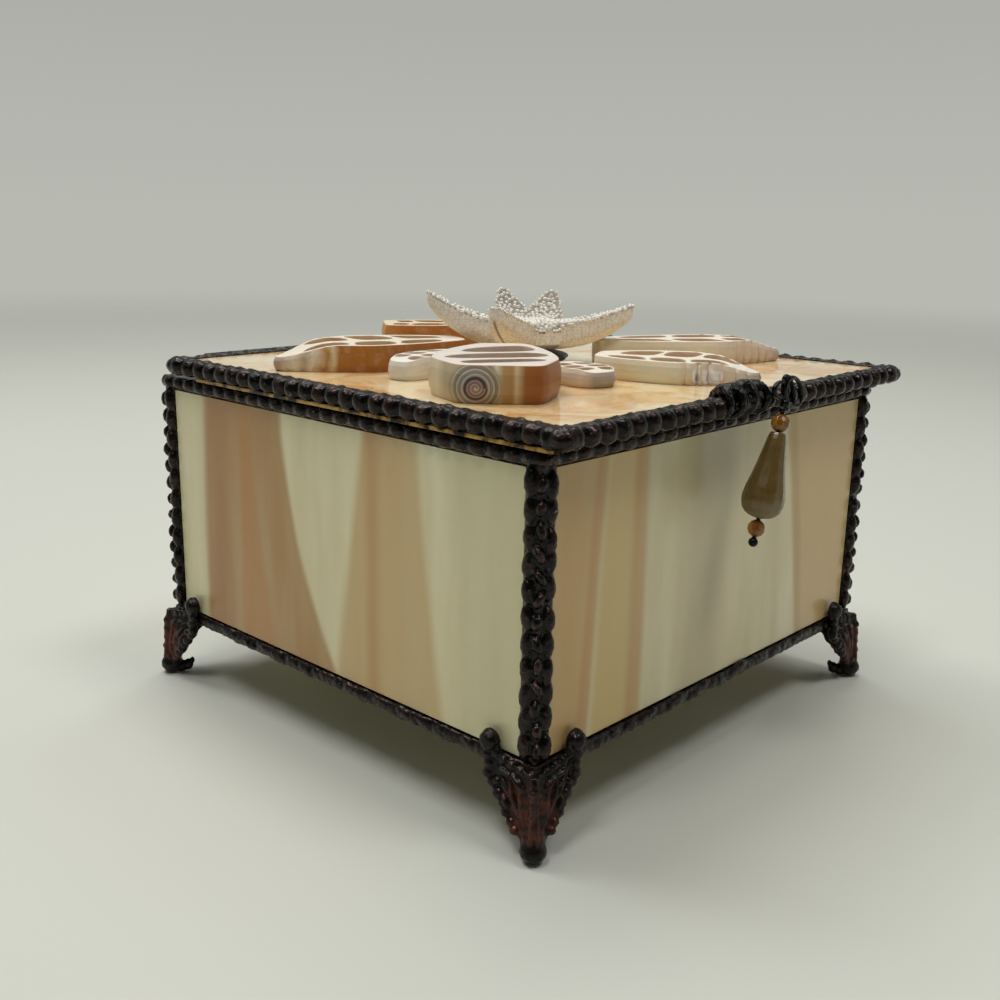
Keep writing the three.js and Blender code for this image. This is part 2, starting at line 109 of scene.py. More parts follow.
# %% [markdown]
# ## Nodes for materials
# Every finish is a small graph of nodes. One helper adds a node: its inputs are numbers, colours or
# other nodes' outputs, and anything else is a setting of the node itself. Another starts a material.

# %% Nodes for materials
def add_node(tree, kind, inputs=None, stops=None, **settings):
    """Adds a node with its settings, its inputs and, on a colour ramp, its stops."""
    node = tree.nodes.new(kind)
    for name, value in settings.items():
        setattr(node, name, value)
    for socket, value in (inputs or {}).items():
        if isinstance(value, bpy.types.NodeSocket):
            tree.links.new(value, node.inputs[socket])
        else:
            node.inputs[socket].default_value = value
    for i, (place, tone) in enumerate(stops or []):
        stop = node.color_ramp.elements[i] if i < 2 else node.color_ramp.elements.new(place)
        stop.position = place
        stop.color = tone if isinstance(tone, tuple) else (tone, tone, tone, 1)
    return node


def new_material(name, **shader_values):
    """A material with one shader, whose plain values are set on its own sockets."""
    material = bpy.data.materials.new(name)
    material.use_nodes = True
    tree = material.node_tree
    shader = tree.nodes["Principled BSDF"]
    for socket, value in shader_values.items():
        shader.inputs[socket.replace("_", " ")].default_value = value
    return material, tree, shader


def dress(target, material):
    """Gives a piece or a CAD node one material."""
    target.data.materials.clear()
    target.data.materials.append(material)


print("node helpers ready")

# %% [markdown]
# ## Pieces from bmesh
# A new piece is built in a bmesh, which then becomes an object at the origin, so that its place is in
# its mesh. Solder and castings are shapes that ran together, so their lumps are built apart and
# then fused: a voxel remesh joins them into one skin, a smooth rounds the creases, and a little
# displacement takes away the machine-made look. The result is kept as plain mesh.

# %% Pieces from bmesh
def piece_from(shape, name, body, slot, material, *nodes, smooth=True):
    """Turns a bmesh into a piece that rides on a body and stands for CAD nodes."""
    mesh = bpy.data.meshes.new(name)
    shape.to_mesh(mesh)
    shape.free()
    piece = bpy.data.objects.new(name, mesh)
    bpy.context.scene.collection.objects.link(piece)
    mesh.shade_smooth() if smooth else mesh.shade_flat()
    dress(piece, material)
    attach(piece, body)
    if nodes:
        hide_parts(*nodes)
    return piece


def report(piece):
    """Prints how many triangles a piece has."""
    print(piece.name, "has", sum(len(face.vertices) - 2 for face in piece.data.polygons), "triangles")


def fuse(piece, grain, rounds, lumps=0.0, lump_size=1.0):
    """Runs a piece's overlapping lumps together. Lengths are in millimetres."""
    melt = piece.modifiers.new("melt", "REMESH")
    melt.mode = "VOXEL"
    melt.voxel_size = grain * MM
    flow = piece.modifiers.new("flow", "SMOOTH")
    flow.factor = 0.5
    flow.iterations = rounds
    if lumps:
        clouds = bpy.data.textures.new(piece.name + "_lumps", "CLOUDS")
        clouds.noise_scale = lump_size * MM
        uneven = piece.modifiers.new("uneven", "DISPLACE")
        uneven.texture = clouds
        uneven.texture_coords = "LOCAL"
        uneven.strength = lumps * MM
    evaluated = piece.evaluated_get(bpy.context.evaluated_depsgraph_get())
    mesh = bpy.data.meshes.new_from_object(evaluated)
    piece.modifiers.clear()
    piece.data = mesh
    mesh.shade_smooth()
    report(piece)


UNTURNED = Matrix.Identity(4)


def add_block(shape, low, high, turn=UNTURNED):
    """A rectangular bar between two corners in millimetres, then turned."""
    low, high = at(*low), at(*high)
    size = Matrix.Diagonal((*(high - low), 1))
    bmesh.ops.create_cube(shape, size=1, matrix=turn @ Matrix.Translation((low + high) / 2) @ size)


def add_lump(shape, centre, along, out, size, lean=0.0, detail=2, turn=UNTURNED):
    """An oval lump. along and out are directions, and size its half lengths along, out and across."""
    across = along.cross(out)
    facing = Matrix((along, out, across)).transposed().to_4x4()
    spin = Matrix.Rotation(lean, 4, "Y")
    oval = Matrix.Diagonal((*(s * MM for s in size), 1))
    bmesh.ops.create_icosphere(
        shape, subdivisions=detail, radius=1, matrix=turn @ Matrix.Translation(centre) @ facing @ spin @ oval,
    )


print("piece helpers ready")

# %% [markdown]
# ## The floor
# The photograph has a seamless pale grey sweep of paper under and behind the box. A wide round floor
# that fades out towards the background gives the same seamless look from any side.

# %% The floor
FLOOR_RADIUS, FADE_START, FADE_END = 3, 0.35, 1.6

sheet_shape = bmesh.new()
bmesh.ops.create_circle(sheet_shape, cap_ends=True, segments=96, radius=FLOOR_RADIUS)
sweep_mesh = bpy.data.meshes.new("floor")
sheet_shape.to_mesh(sweep_mesh)
sheet_shape.free()
floor = bpy.data.objects.new("floor", sweep_mesh)
bpy.context.scene.collection.objects.link(floor)
sweep, tree, shader = new_material("pale_paper_sweep", Roughness=0.9)
shader.inputs["Base Color"].default_value = colour("#CCCDC3")
place = add_node(tree, "ShaderNodeTexCoord")
distance = add_node(tree, "ShaderNodeVectorMath", {0: place.outputs["Object"]}, operation="LENGTH")
fade = add_node(
    tree, "ShaderNodeMapRange",
    {"Value": distance.outputs["Value"], "From Min": FADE_START, "From Max": FADE_END},
    interpolation_type="SMOOTHSTEP",
)
clear = add_node(tree, "ShaderNodeBsdfTransparent")
mix = add_node(
    tree, "ShaderNodeMixShader",
    {0: fade.outputs["Result"], 1: shader.outputs["BSDF"], 2: clear.outputs["BSDF"]},
)
tree.links.new(mix.outputs["Shader"], tree.nodes["Material Output"].inputs["Surface"])
dress(floor, sweep)
print("floor of", 2 * FLOOR_RADIUS, "m across")

# %% [markdown]
# ## The light
# The light is soft and comes from all around, a little stronger from above and behind. The world gives
# most of it: paper that is brightest at the horizon, and a darker room in front of the box, which keeps
# the shadow under it deep. Five square lamps add the faint highlights on the solder.

# %% The light
TO_THE_ROOM = (-0.74, -0.67, 0)
ROOM_SHARE = 0.26
BOX_HEART = Vector((0, 0, 0.05))
LAMPS = {
    "top_softbox": ((0.0, 0.45, 1.15), 6.5, 0.8),
    "side_softbox_0": ((-0.52, -0.12, 1.15), 3.5, 0.3),
    "side_softbox_1": ((0.12, -0.52, 1.15), 3.5, 0.3),
    "side_softbox_2": ((0.6, 0.25, 1.1), 1.4, 0.3),
    "side_softbox_3": ((-0.25, 0.6, 1.1), 1.4, 0.3),
}

world = bpy.data.worlds.new("studio")
bpy.context.scene.world = world
world.use_nodes = True
around = add_node(world.node_tree, "ShaderNodeTexCoord").outputs["Generated"]
height = add_node(world.node_tree, "ShaderNodeSeparateXYZ", {0: around})
wall = add_node(
    world.node_tree, "ShaderNodeValToRGB", {"Fac": height.outputs["Z"]},
    stops=[(0.0, colour("#B8BAB2")), (1.0, colour("#8B8C87")), (0.17, colour("#ADAEA8")), (0.34, colour("#7E7F7A"))],
)
ahead = add_node(world.node_tree, "ShaderNodeVectorMath", {0: around, 1: TO_THE_ROOM}, operation="DOT_PRODUCT")
room = add_node(
    world.node_tree, "ShaderNodeMapRange",
    {"Value": ahead.outputs["Value"], "From Min": -0.1, "From Max": 0.7, "To Min": 1.0, "To Max": ROOM_SHARE},
)
studio_light = add_node(
    world.node_tree, "ShaderNodeVectorMath", {0: wall.outputs["Color"], "Scale": room.outputs[0]}, operation="SCALE",
)
world.node_tree.links.new(studio_light.outputs[0], world.node_tree.nodes["Background"].inputs["Color"])
world.node_tree.nodes["Background"].inputs["Strength"].default_value = 1.0
bpy.context.scene.view_settings.view_transform = "Standard"


def add_softbox(name, place, power, size):
    """A square studio light that faces the box."""
    softbox = bpy.data.lights.new(name, "AREA")
    softbox.energy = power
    softbox.size = size
    lamp = bpy.data.objects.new(name, softbox)
    bpy.context.scene.collection.objects.link(lamp)
    lamp.location = Vector(place)
    lamp.rotation_euler = (BOX_HEART - Vector(place)).to_track_quat("-Z", "Y").to_euler()


for name, (place, power, size) in LAMPS.items():
    add_softbox(name, place, power, size)
print("world and", len(LAMPS), "soft lights")

# %% [markdown]
# ## Opalescent glass walls
# Opalescent sheet glass is clear glass and white or amber opal glass rolled out together while soft.
# It looks milky, with long soft streaks where the amber was drawn out. The body is nearly opaque, and
# light spreads a few millimetres under a fire-polished surface, so the shader is a glossy one with
# subsurface light. Each streak is a soft band across the pane with its own width, lean and tone.

# %% Opalescent glass walls
PANE_BOTTOM, PANE_TOP = 19.3, 75.8


def streaked_glass(name, axis, direction, tones, bands):
    """Bands are (left top, left bottom, right top, right bottom, bow, softness, colour, strength).

    The four places are in millimetres from the pane's middle, towards the right as seen from outside.
    """
    material, tree, shader = new_material(
        name, Roughness=0.24, IOR=1.52, Subsurface_Weight=0.25, Subsurface_Scale=0.003,
        Coat_Weight=0.2, Coat_Roughness=0.16,
    )
    place = add_node(tree, "ShaderNodeTexCoord")
    parts = add_node(tree, "ShaderNodeSeparateXYZ", {0: place.outputs["Object"]})
    # Drawn-out glass: noise that is stretched along the height to about six times its width.
    drawn = add_node(
        tree, "ShaderNodeMapping", {"Vector": place.outputs["Object"], "Scale": (1.0, 1.0, 0.16)},
    )
    sway = add_node(
        tree, "ShaderNodeTexNoise",
        {"Vector": drawn.outputs["Vector"], "Scale": 1 / (30 * MM), "Detail": 3.0, "Roughness": 0.5},
    )
    fine = add_node(
        tree, "ShaderNodeTexNoise",
        {"Vector": drawn.outputs["Vector"], "Scale": 1 / (9 * MM), "Detail": 4.0, "Roughness": 0.5},
    )
    run = add_node(
        tree, "ShaderNodeMath", {0: parts.outputs[axis], 1: direction / MM}, operation="MULTIPLY",
    )
    start = -direction * MIDDLE_Y / MM if axis == "Y" else 0.0
    bend = add_node(
        tree, "ShaderNodeMapRange",
        {"Value": sway.outputs["Fac"], "From Min": 0.3, "From Max": 0.7, "To Min": -1.6, "To Max": 1.6},
    )
    shifted = add_node(tree, "ShaderNodeMath", {0: run.outputs[0], 1: start}, operation="ADD")
    across = add_node(tree, "ShaderNodeMath", {0: shifted.outputs[0], 1: bend.outputs[0]}, operation="ADD")
    low = add_node(
        tree, "ShaderNodeMapRange",
        {"Value": parts.outputs["Z"], "From Min": PANE_TOP * MM, "From Max": PANE_BOTTOM * MM},
    )
    ground = add_node(
        tree, "ShaderNodeValToRGB", {"Fac": fine.outputs["Fac"]},
        stops=[(0.34, colour(tones[0])), (0.52, colour(tones[1])), (0.7, colour(tones[2]))],
    )
    worn = add_node(
        tree, "ShaderNodeMapRange",
        {"Value": fine.outputs["Fac"], "From Min": 0.3, "From Max": 0.6, "To Min": 0.75, "To Max": 1.0},
    )
    blend = ground.outputs["Color"]
    for left_top, left_low, right_top, right_low, bow, soft, code, strength in bands:
        down = add_node(tree, "ShaderNodeMath", {0: low.outputs[0], 1: bow}, operation="POWER")
        sides = []
        for top, bottom, end in ((left_top, left_low, 1), (right_top, right_low, -1)):
            edge = add_node(
                tree, "ShaderNodeMapRange", {"Value": down.outputs[0], "To Min": top, "To Max": bottom},
            )
            off = add_node(tree, "ShaderNodeMath", {0: across.outputs[0], 1: edge.outputs[0]}, operation="SUBTRACT")
            sides.append(add_node(
                tree, "ShaderNodeMapRange",
                {"Value": off.outputs[0], "From Min": -end * soft, "From Max": end * soft},
                interpolation_type="SMOOTHSTEP",
            ))
        inside = add_node(
            tree, "ShaderNodeMath", {0: sides[0].outputs[0], 1: sides[1].outputs[0]}, operation="MULTIPLY",
        )
        full = add_node(tree, "ShaderNodeMath", {0: worn.outputs[0], 1: strength}, operation="MULTIPLY")
        share = add_node(tree, "ShaderNodeMath", {0: inside.outputs[0], 1: full.outputs[0]}, operation="MULTIPLY")
        layer = add_node(
            tree, "ShaderNodeMix", {0: share.outputs[0], 6: blend, 7: colour(code)}, data_type="RGBA",
        )
        blend = layer.outputs[2]
    tree.links.new(blend, shader.inputs["Base Color"])
    ripple = add_node(
        tree, "ShaderNodeTexNoise", {"Vector": drawn.outputs["Vector"], "Scale": 1 / (11 * MM), "Detail": 1.5},
    )
    bump = add_node(
        tree, "ShaderNodeBump", {"Height": ripple.outputs["Fac"], "Strength": 0.25, "Distance": 0.3 * MM},
    )
    tree.links.new(bump.outputs["Normal"], shader.inputs["Normal"])
    return material


print("streaked glass is ready")

# %% [markdown]
# ### The panes
# Each pane was cut from another part of the sheet, so each has its own streaks. Those of the left and
# the front pane are set where the photograph shows them, and one soft grey band on the front pane, left
# of the pull, is no streak but a painted reflection of the hanging drop. The back and the right pane
# don't show, and theirs are in the same style. The floor pane is cut from the same sheet as the back.

# %% The panes
PANES = {
    "left": ("Y", -1, ("#DBD1A6", "#E4DAB0", "#EBE3BE"), [
        (-45.3, -46, -15, 3, 1.7, 1.3, "#AD7C36", 0.92),
        (-45.3, -46, -36, -38, 1.0, 2.4, "#A9743A", 0.7),
        (-31, -32, -27.5, -20, 1.0, 1.8, "#BC823C", 0.75),
        (-18, -2, -14.5, 3.5, 1.7, 2.0, "#B59A5E", 0.35),
        (13.2, 3.5, 29.5, 37.5, 1.0, 1.8, "#CDAB72", 0.9),
        (14, 14.5, 19, 18.5, 1.0, 2.2, "#C08D50", 0.7),
        (40, 46, 66, 66, 1.0, 7, "#CBC69C", 0.5),
    ]),
    "front": ("X", 1, ("#D2C69E", "#DCD0A9", "#E4DAB6"), [
        (-66, -66, -44.5, -49, 1.0, 2.2, "#C69C5C", 0.88),
        (-46.3, -50.6, -43, -47.2, 1.0, 1.0, "#C08947", 0.75),
        (-43, -46, -32, -32.5, 1.0, 1.8, "#D1B26E", 0.85),
        (-34.6, -35, -30.6, -30.2, 1.0, 1.3, "#BF9050", 0.7),
        # Not a streak: a painted reflection of the hanging drop, a soft grey band left of the pull.
        (-16, -18, 4, 0, 0.8, 5.5, "#B9A988", 0.5),
        (18.5, 22, 22, 26, 1.0, 2.4, "#CDB88E", 0.5),
        (24, 36, 66, 66, 1.0, 1.6, "#D1AE71", 0.85),
        (24, 36, 28, 39, 1.0, 1.3, "#BC9A62", 0.7),
    ]),
    "back": ("X", -1, ("#CFC8A3", "#D8D1AE", "#DFDAB9"), [
        (-50, -54, -32, -36, 1.0, 2, "#CDAE76", 0.85),
        (-44, -47, -41, -44, 1.0, 1.2, "#C5905A", 0.75),
        (-6, 4, 20, 12, 1.3, 2, "#D0B583", 0.85),
        (2, 6, 6, 9, 1.0, 1.8, "#C6935C", 0.7),
        (40, 34, 50, 46, 1.0, 2, "#CBB580", 0.8),
    ]),
    "right": ("Y", 1, ("#CFC8A3", "#D8D1AE", "#DFDAB9"), [
        (-66, -66, -50, -44, 1.0, 2, "#CDAE76", 0.85),
        (-26, -30, -8, -2, 1.4, 2, "#D0B583", 0.85),
        (-20, -24, -17, -20, 1.0, 1.5, "#C5905A", 0.7),
        (16, 22, 40, 36, 1.0, 2, "#CBB580", 0.8),
        (30, 30, 33, 32, 1.0, 1.4, "#BE935B", 0.6),
    ]),
}

for side, (axis, direction, tones, bands) in PANES.items():
    opal_glass = streaked_glass(f"opal_glass_{side}", axis, direction, tones, bands)
    dress(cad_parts[f"pane_{side}"], opal_glass)
    if side == "back":
        dress(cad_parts["pane_bottom"], opal_glass)
print("dressed", len(PANES), "walls and the floor pane")

# %% [markdown]
# ## Mottled lid glass
# The lid is a wispy sheet of the same family: cream with clouds of amber that were stirred, not drawn.
# Two noises, one bent by the other, give the stirred look, and a gloss with a slight ripple does the rest.

# %% Mottled lid glass
lid_material, tree, shader = new_material(
    "wispy_opal_glass", Roughness=0.12, IOR=1.52, Subsurface_Weight=0.2, Subsurface_Scale=0.003,
    Coat_Weight=0.4, Coat_Roughness=0.03,
)
place = add_node(tree, "ShaderNodeTexCoord")
stir = add_node(
    tree, "ShaderNodeTexNoise", {"Vector": place.outputs["Object"], "Scale": 1 / (26 * MM), "Detail": 2.0},
)
stirred = add_node(
    tree, "ShaderNodeMix", {0: 0.035, 4: place.outputs["Object"], 5: stir.outputs["Color"]}, data_type="VECTOR",
)
cloud = add_node(
    tree, "ShaderNodeTexNoise",
    {"Vector": stirred.outputs[1], "Scale": 1 / (15 * MM), "Detail": 6.0, "Roughness": 0.62, "Distortion": 0.6},
)
mottle = add_node(
    tree, "ShaderNodeTexNoise",
    {"Vector": stirred.outputs[1], "Scale": 1 / (3.2 * MM), "Detail": 4.0, "Roughness": 0.6},
)
tone = add_node(
    tree, "ShaderNodeValToRGB", {"Fac": cloud.outputs["Fac"]},
    stops=[(0.3, colour("#C99452")), (0.62, colour("#F7E6BF")), (0.42, colour("#E4B77A")), (0.5, colour("#F2D29F"))],
)
speck = add_node(
    tree, "ShaderNodeMapRange", {"Value": mottle.outputs["Fac"], "From Min": 0.5, "From Max": 0.72, "To Max": 0.45},
)
glaze = add_node(
    tree, "ShaderNodeMix", {0: speck.outputs[0], 6: tone.outputs["Color"], 7: colour("#E4DABD")}, data_type="RGBA",
)
tree.links.new(glaze.outputs[2], shader.inputs["Base Color"])
bump = add_node(tree, "ShaderNodeBump", {"Height": cloud.outputs["Fac"], "Strength": 0.3, "Distance": 0.4 * MM})
tree.links.new(bump.outputs["Normal"], shader.inputs["Normal"])
dress(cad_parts["lid_glass"], lid_material)
print("dressed the lid glass")

# %% [markdown]
# ## Solder under black patina
# The edges are tin solder that was built up bead by bead and then blackened with a patina. It is metal,
# so it keeps a dark, slightly broken gloss. The patina is thin: the crowns of the beads are purple-brown,
# partly worn patina and partly a painted highlight, and bare bright solder shows in a few chipped specks.

# %% Solder under black patina
def patina_metal(name, deep, crown_wear_and_sheen, gloss, speck_share):
    """Blackened metal with two tones: deep in the valleys, and on the crowns one that is partly worn patina and partly
    a painted highlight.

    gloss is the roughness of its smoothest parts, and a lower speck_share gives more bare specks.
    """
    material, tree, shader = new_material(name, Metallic=0.8, Coat_Weight=0.22, Coat_Roughness=0.08)
    place = add_node(tree, "ShaderNodeTexCoord")
    shape = add_node(tree, "ShaderNodeNewGeometry")
    patch = add_node(
        tree, "ShaderNodeTexNoise",
        {"Vector": place.outputs["Object"], "Scale": 1 / (3.4 * MM), "Detail": 4.0, "Roughness": 0.6},
    )
    grit = add_node(
        tree, "ShaderNodeTexNoise",
        {"Vector": place.outputs["Object"], "Scale": 1 / (0.7 * MM), "Detail": 3.0, "Roughness": 0.6},
    )
    raised = add_node(
        tree, "ShaderNodeMapRange",
        {"Value": shape.outputs["Pointiness"], "From Min": 0.49, "From Max": 0.56},
    )
    uneven = add_node(
        tree, "ShaderNodeMapRange", {"Value": patch.outputs["Fac"], "From Min": 0.38, "From Max": 0.66},
    )
    # The crowns take the crown tone in patches: worn patina and a painted highlight together.
    worn = add_node(tree, "ShaderNodeMath", {0: raised.outputs[0], 1: uneven.outputs[0]}, operation="MULTIPLY")
    skin = add_node(
        tree, "ShaderNodeMix", {0: worn.outputs[0], 6: colour(deep), 7: colour(crown_wear_and_sheen)}, data_type="RGBA",
    )
    chip = add_node(
        tree, "ShaderNodeMapRange",
        {"Value": grit.outputs["Fac"], "From Min": speck_share, "From Max": speck_share + 0.03},
    )
    chipped = add_node(tree, "ShaderNodeMath", {0: chip.outputs[0], 1: raised.outputs[0]}, operation="MULTIPLY")
    bare = add_node(
        tree, "ShaderNodeMix", {0: chipped.outputs[0], 6: skin.outputs[2], 7: colour("#B9B3A6")}, data_type="RGBA",
    )
    tree.links.new(bare.outputs[2], shader.inputs["Base Color"])
    rough = add_node(
        tree, "ShaderNodeMapRange",
        {"Value": grit.outputs["Fac"], "From Min": 0.3, "From Max": 0.7, "To Min": gloss, "To Max": gloss + 0.28},
    )
    tree.links.new(rough.outputs[0], shader.inputs["Roughness"])
    bump = add_node(tree, "ShaderNodeBump", {"Height": grit.outputs["Fac"], "Strength": 0.7, "Distance": 0.25 * MM})
    tree.links.new(bump.outputs["Normal"], shader.inputs["Normal"])
    return material, tree, shader


solder = patina_metal("black_patina_solder", "#050303", "#49322B", 0.16, 0.68)[0]
print("patina ready")

# %% [markdown]
# ## Beads along the top edge
# A rim is a bar of solder with half-round beads on its face. The bar and the beads are made apart, one
# small sphere to a bead, and fused. A seeded random number shifts each bead a little, as a hand does.

# %% Beads along the top edge
HAND_SEED = 7
RIM_PITCH, RIM_BEAD = 4.5, (2.5, 1.95, 1.72)

hand = random.Random(HAND_SEED)
SIDES = {"front": 0, "right": 90, "back": 180, "left": -90}


def side_turn(side, centre_y=0.0):
    """The turn about the middle that brings the front side's shapes to another side."""
    pivot = Matrix.Translation(at(0, centre_y, 0))
    return pivot @ Matrix.Rotation(math.radians(SIDES[side]), 4, "Z") @ pivot.inverted()


ALONG, OUT = Vector((1, 0, 0)), Vector((0, -1, 0))


def add_bead_row(shape, half_length, y, z, pitch, size, turn, wobble=0.12):
    """A row of beads along X whose crowns face -Y, then turned to their side."""
    count = round(2 * half_length / pitch)
    for i in range(count):
        x = -half_length + (i + 0.5) * 2 * half_length / count
        scale = [s * (1 + hand.uniform(-wobble, wobble) * 0.6) for s in size]
        centre = at(x + hand.uniform(-wobble, wobble), y + hand.uniform(-wobble, wobble) * 0.5, z)
        add_lump(shape, centre, ALONG, OUT, scale, hand.uniform(-0.12, 0.12), turn=turn)


rim_shape = bmesh.new()
for side in SIDES:
    turn = side_turn(side)
    low, high = (-BODY + 0.9, -BODY + 0.5, BODY_TOP - 3.1), (BODY - 0.9, -BODY + 4.9, BODY_TOP - 0.15)
    add_block(rim_shape, low, high, turn)
    add_bead_row(rim_shape, BODY - 1.2, -BODY + 1.25, BODY_TOP - 1.65, RIM_PITCH, RIM_BEAD, turn)
    add_lump(rim_shape, at(-BODY + 1.9, -BODY + 1.9, BODY_TOP - 1.7), ALONG, OUT, (2.3, 2.3, 1.65), turn=turn)
rims = piece_from(
    rim_shape, "rim_beading", "box", "patina", solder, "rim_front", "rim_right", "rim_back", "rim_left",
)
fuse(rims, 0.4, rounds=2, lumps=0.25, lump_size=1.6)

# %% [markdown]
# ## The lid's banding
# The lid's edge is fatter: barrel-like beads that lean on each other like the strands of a rope, with a
# full round lump at each corner. Barrels come from spheres whose ends are drawn out towards a cube.

# %% The lid's banding
LID_HALF_X = 131.0 / 2
LID_FRONT, LID_BACK = -BODY - 6.4, -BODY - 6.4 + 127.6
BAND_MIDDLE = 82.3
BAND_PITCH, BAND_END = 4.6, 2.2
# Each barrel is two ovals, (depth, rise, size): a fat one outside and a flat one behind it.
BARREL = [(1.75, 0.0, (2.2, 2.2, 2.3)), (3.4, 0.15, (2.3, 1.5, 2.1))]
BARREL_LEAN = 0.3


def add_band_side(shape, side):
    """One side of the banding, made at the front and turned to its place."""
    half_across = (LID_BACK - LID_FRONT) / 2
    centre_y = (LID_FRONT + LID_BACK) / 2
    half = LID_HALF_X if side in ("front", "back") else half_across
    out = half_across if side in ("front", "back") else LID_HALF_X
    shift = centre_y - out
    turn = side_turn(side, centre_y)
    low, high = (-half + 2.6, shift + 1.3, BAND_MIDDLE - 1.7), (half - 2.6, shift + 4.6, BAND_MIDDLE + 1.75)
    add_block(shape, low, high, turn)
    run = 2 * (half - BAND_END)
    count = round(run / BAND_PITCH)
    for i in range(count):
        x = -half + BAND_END + (i + 0.5) * run / count + hand.uniform(-0.15, 0.15)
        for deep, rise, size in BARREL:
            grown = [s * hand.uniform(0.94, 1.07) for s in size]
            centre = at(x, shift + deep, BAND_MIDDLE + rise + hand.uniform(-0.12, 0.12))
            add_lump(shape, centre, ALONG, OUT, grown, BARREL_LEAN + hand.uniform(-0.15, 0.15), turn=turn)
    add_lump(shape, at(-half + 2.5, shift + 2.5, BAND_MIDDLE), ALONG, OUT, (3.0, 3.0, 2.35), turn=turn)


band_shape = bmesh.new()
for side in SIDES:
    add_band_side(band_shape, side)
banding = piece_from(
    band_shape, "lid_banding", "lid", "patina", solder,
    "lid_band_front", "lid_band_right", "lid_band_back", "lid_band_left",
)
fuse(banding, 0.42, rounds=1, lumps=0.4, lump_size=1.3)

# %% [markdown]
# ### Foil under the banding
# Glass edges are wrapped in copper foil before they are soldered. A strip of it stays bare under the
# lid's banding, where the iron didn't reach, and shows as a thin ochre line above the lower beads.

# %% Foil under the banding
foil_shape = bmesh.new()
for side in (-1, 1):
    strip = ((side * 64.3, LID_FRONT + 4, BODY_TOP + 0.08), (side * 63.5, LID_BACK - 12, BODY_TOP + 0.9))
    low = [min(a, b) for a, b in zip(*strip)]
    high = [max(a, b) for a, b in zip(*strip)]
    add_block(foil_shape, low, high)
bmesh.ops.bevel(
    foil_shape, geom=foil_shape.edges, offset=0.12 * MM, segments=2, profile=0.5, material=-1, affect="EDGES",
)
foil, tree, shader = new_material("bare_copper_foil", Metallic=0.45, Roughness=0.45)
place = add_node(tree, "ShaderNodeTexCoord")
tarnish = add_node(
    tree, "ShaderNodeTexNoise", {"Vector": place.outputs["Object"], "Scale": 1 / (3 * MM), "Detail": 4.0},
)
tone = add_node(
    tree, "ShaderNodeValToRGB", {"Fac": tarnish.outputs["Fac"]},
    stops=[(0.4, colour("#15100B")), (0.62, colour("#B8964C")), (0.47, colour("#6E5220")), (0.53, colour("#A07C38"))],
)
tree.links.new(tone.outputs["Color"], shader.inputs["Base Color"])
piece_from(foil_shape, "foil_strip", "lid", "hinge_metal", foil)
print("foil strips made")

# %% [markdown]
# ## Corner posts
# Each corner has two rows of oval beads, one along each pane, and rough lumps of solder between them.

# %% Corner posts
POST_BEADS, POST_PITCH, POST_BEAD = 11, 5.2 * 56 / 57.2, (2.85, 1.35, 1.5)
POST_LUMPS, LUMP_PITCH = 13, 4.3
CORNERS = {"front_left": (-1, -1), "front_right": (1, -1), "back_right": (1, 1), "back_left": (-1, 1)}

post_shape = bmesh.new()
for sx, sy in CORNERS.values():
    inner = (sx * (BODY - 4.8), sy * (BODY - 4.8))
    outer = (sx * (BODY - 0.9), sy * (BODY - 0.9))
    low = (min(inner[0], outer[0]), min(inner[1], outer[1]), PANE_BOTTOM - 1.2)
    high = (max(inner[0], outer[0]), max(inner[1], outer[1]), PANE_TOP + 1.2)
    add_block(post_shape, low, high)
    out_x, out_y, rise = Vector((sx, 0, 0)), Vector((0, sy, 0)), Vector((0, 0, 1))
    for i in range(POST_BEADS):
        z = PANE_BOTTOM + 0.6 + (i + 0.5) * POST_PITCH
        size = [s * hand.uniform(0.93, 1.06) for s in POST_BEAD]
        add_lump(post_shape, at(sx * (BODY - 0.7), sy * (BODY - 3.3), z), rise, out_x, size, hand.uniform(-0.15, 0.15))
        z += hand.uniform(-0.8, 0.8)
        add_lump(post_shape, at(sx * (BODY - 3.3), sy * (BODY - 0.7), z), rise, out_y, size, hand.uniform(-0.15, 0.15))
    diagonal = (out_x + out_y).normalized()
    for i in range(POST_LUMPS):
        z = PANE_BOTTOM + 2.4 + i * LUMP_PITCH
        size = (hand.uniform(1.5, 2.0), hand.uniform(1.2, 1.5), hand.uniform(0.8, 1.1))
        nudge = hand.uniform(-0.4, 0.4)
        centre = at(sx * (BODY - 1.0 + nudge * 0.5), sy * (BODY - 1.0 - nudge * 0.5), z)
        add_lump(post_shape, centre, rise, diagonal, size, hand.uniform(-0.6, 0.6))
posts = piece_from(
    post_shape, "corner_beading", "box", "patina", solder, *(f"post_{name}" for name in CORNERS),
)
fuse(posts, 0.3, rounds=1, lumps=0.25, lump_size=0.9)

# %% [markdown]
# ## The bottom edge
# Along the bottom the solder is a plain low strip, uneven where it set, with small drips and specks.

# %% The bottom edge
base_shape = bmesh.new()
for side in SIDES:
    turn = side_turn(side)
    low, high = (-BODY + 0.5, -BODY + 0.55, BODY_BOTTOM + 0.1), (BODY - 0.5, -BODY + 5.0, BODY_BOTTOM + 2.9)
    add_block(base_shape, low, high, turn)
    x = -BODY + 2
    while x < BODY - 2:
        reach = hand.uniform(1.6, 4.5)
        size = (reach, hand.uniform(0.7, 1.15), hand.uniform(0.9, 1.45))
        centre = at(x, -BODY + 0.75, BODY_BOTTOM + 1.5 + hand.uniform(-0.5, 0.5))
        add_lump(base_shape, centre, ALONG, OUT, size, hand.uniform(-0.2, 0.2), turn=turn)
        x += reach * hand.uniform(0.9, 1.4)
bases = piece_from(
    base_shape, "bottom_edge", "box", "patina", solder, "base_front", "base_right", "base_back", "base_left",
)
fuse(bases, 0.45, rounds=1, lumps=0.45, lump_size=1.4)

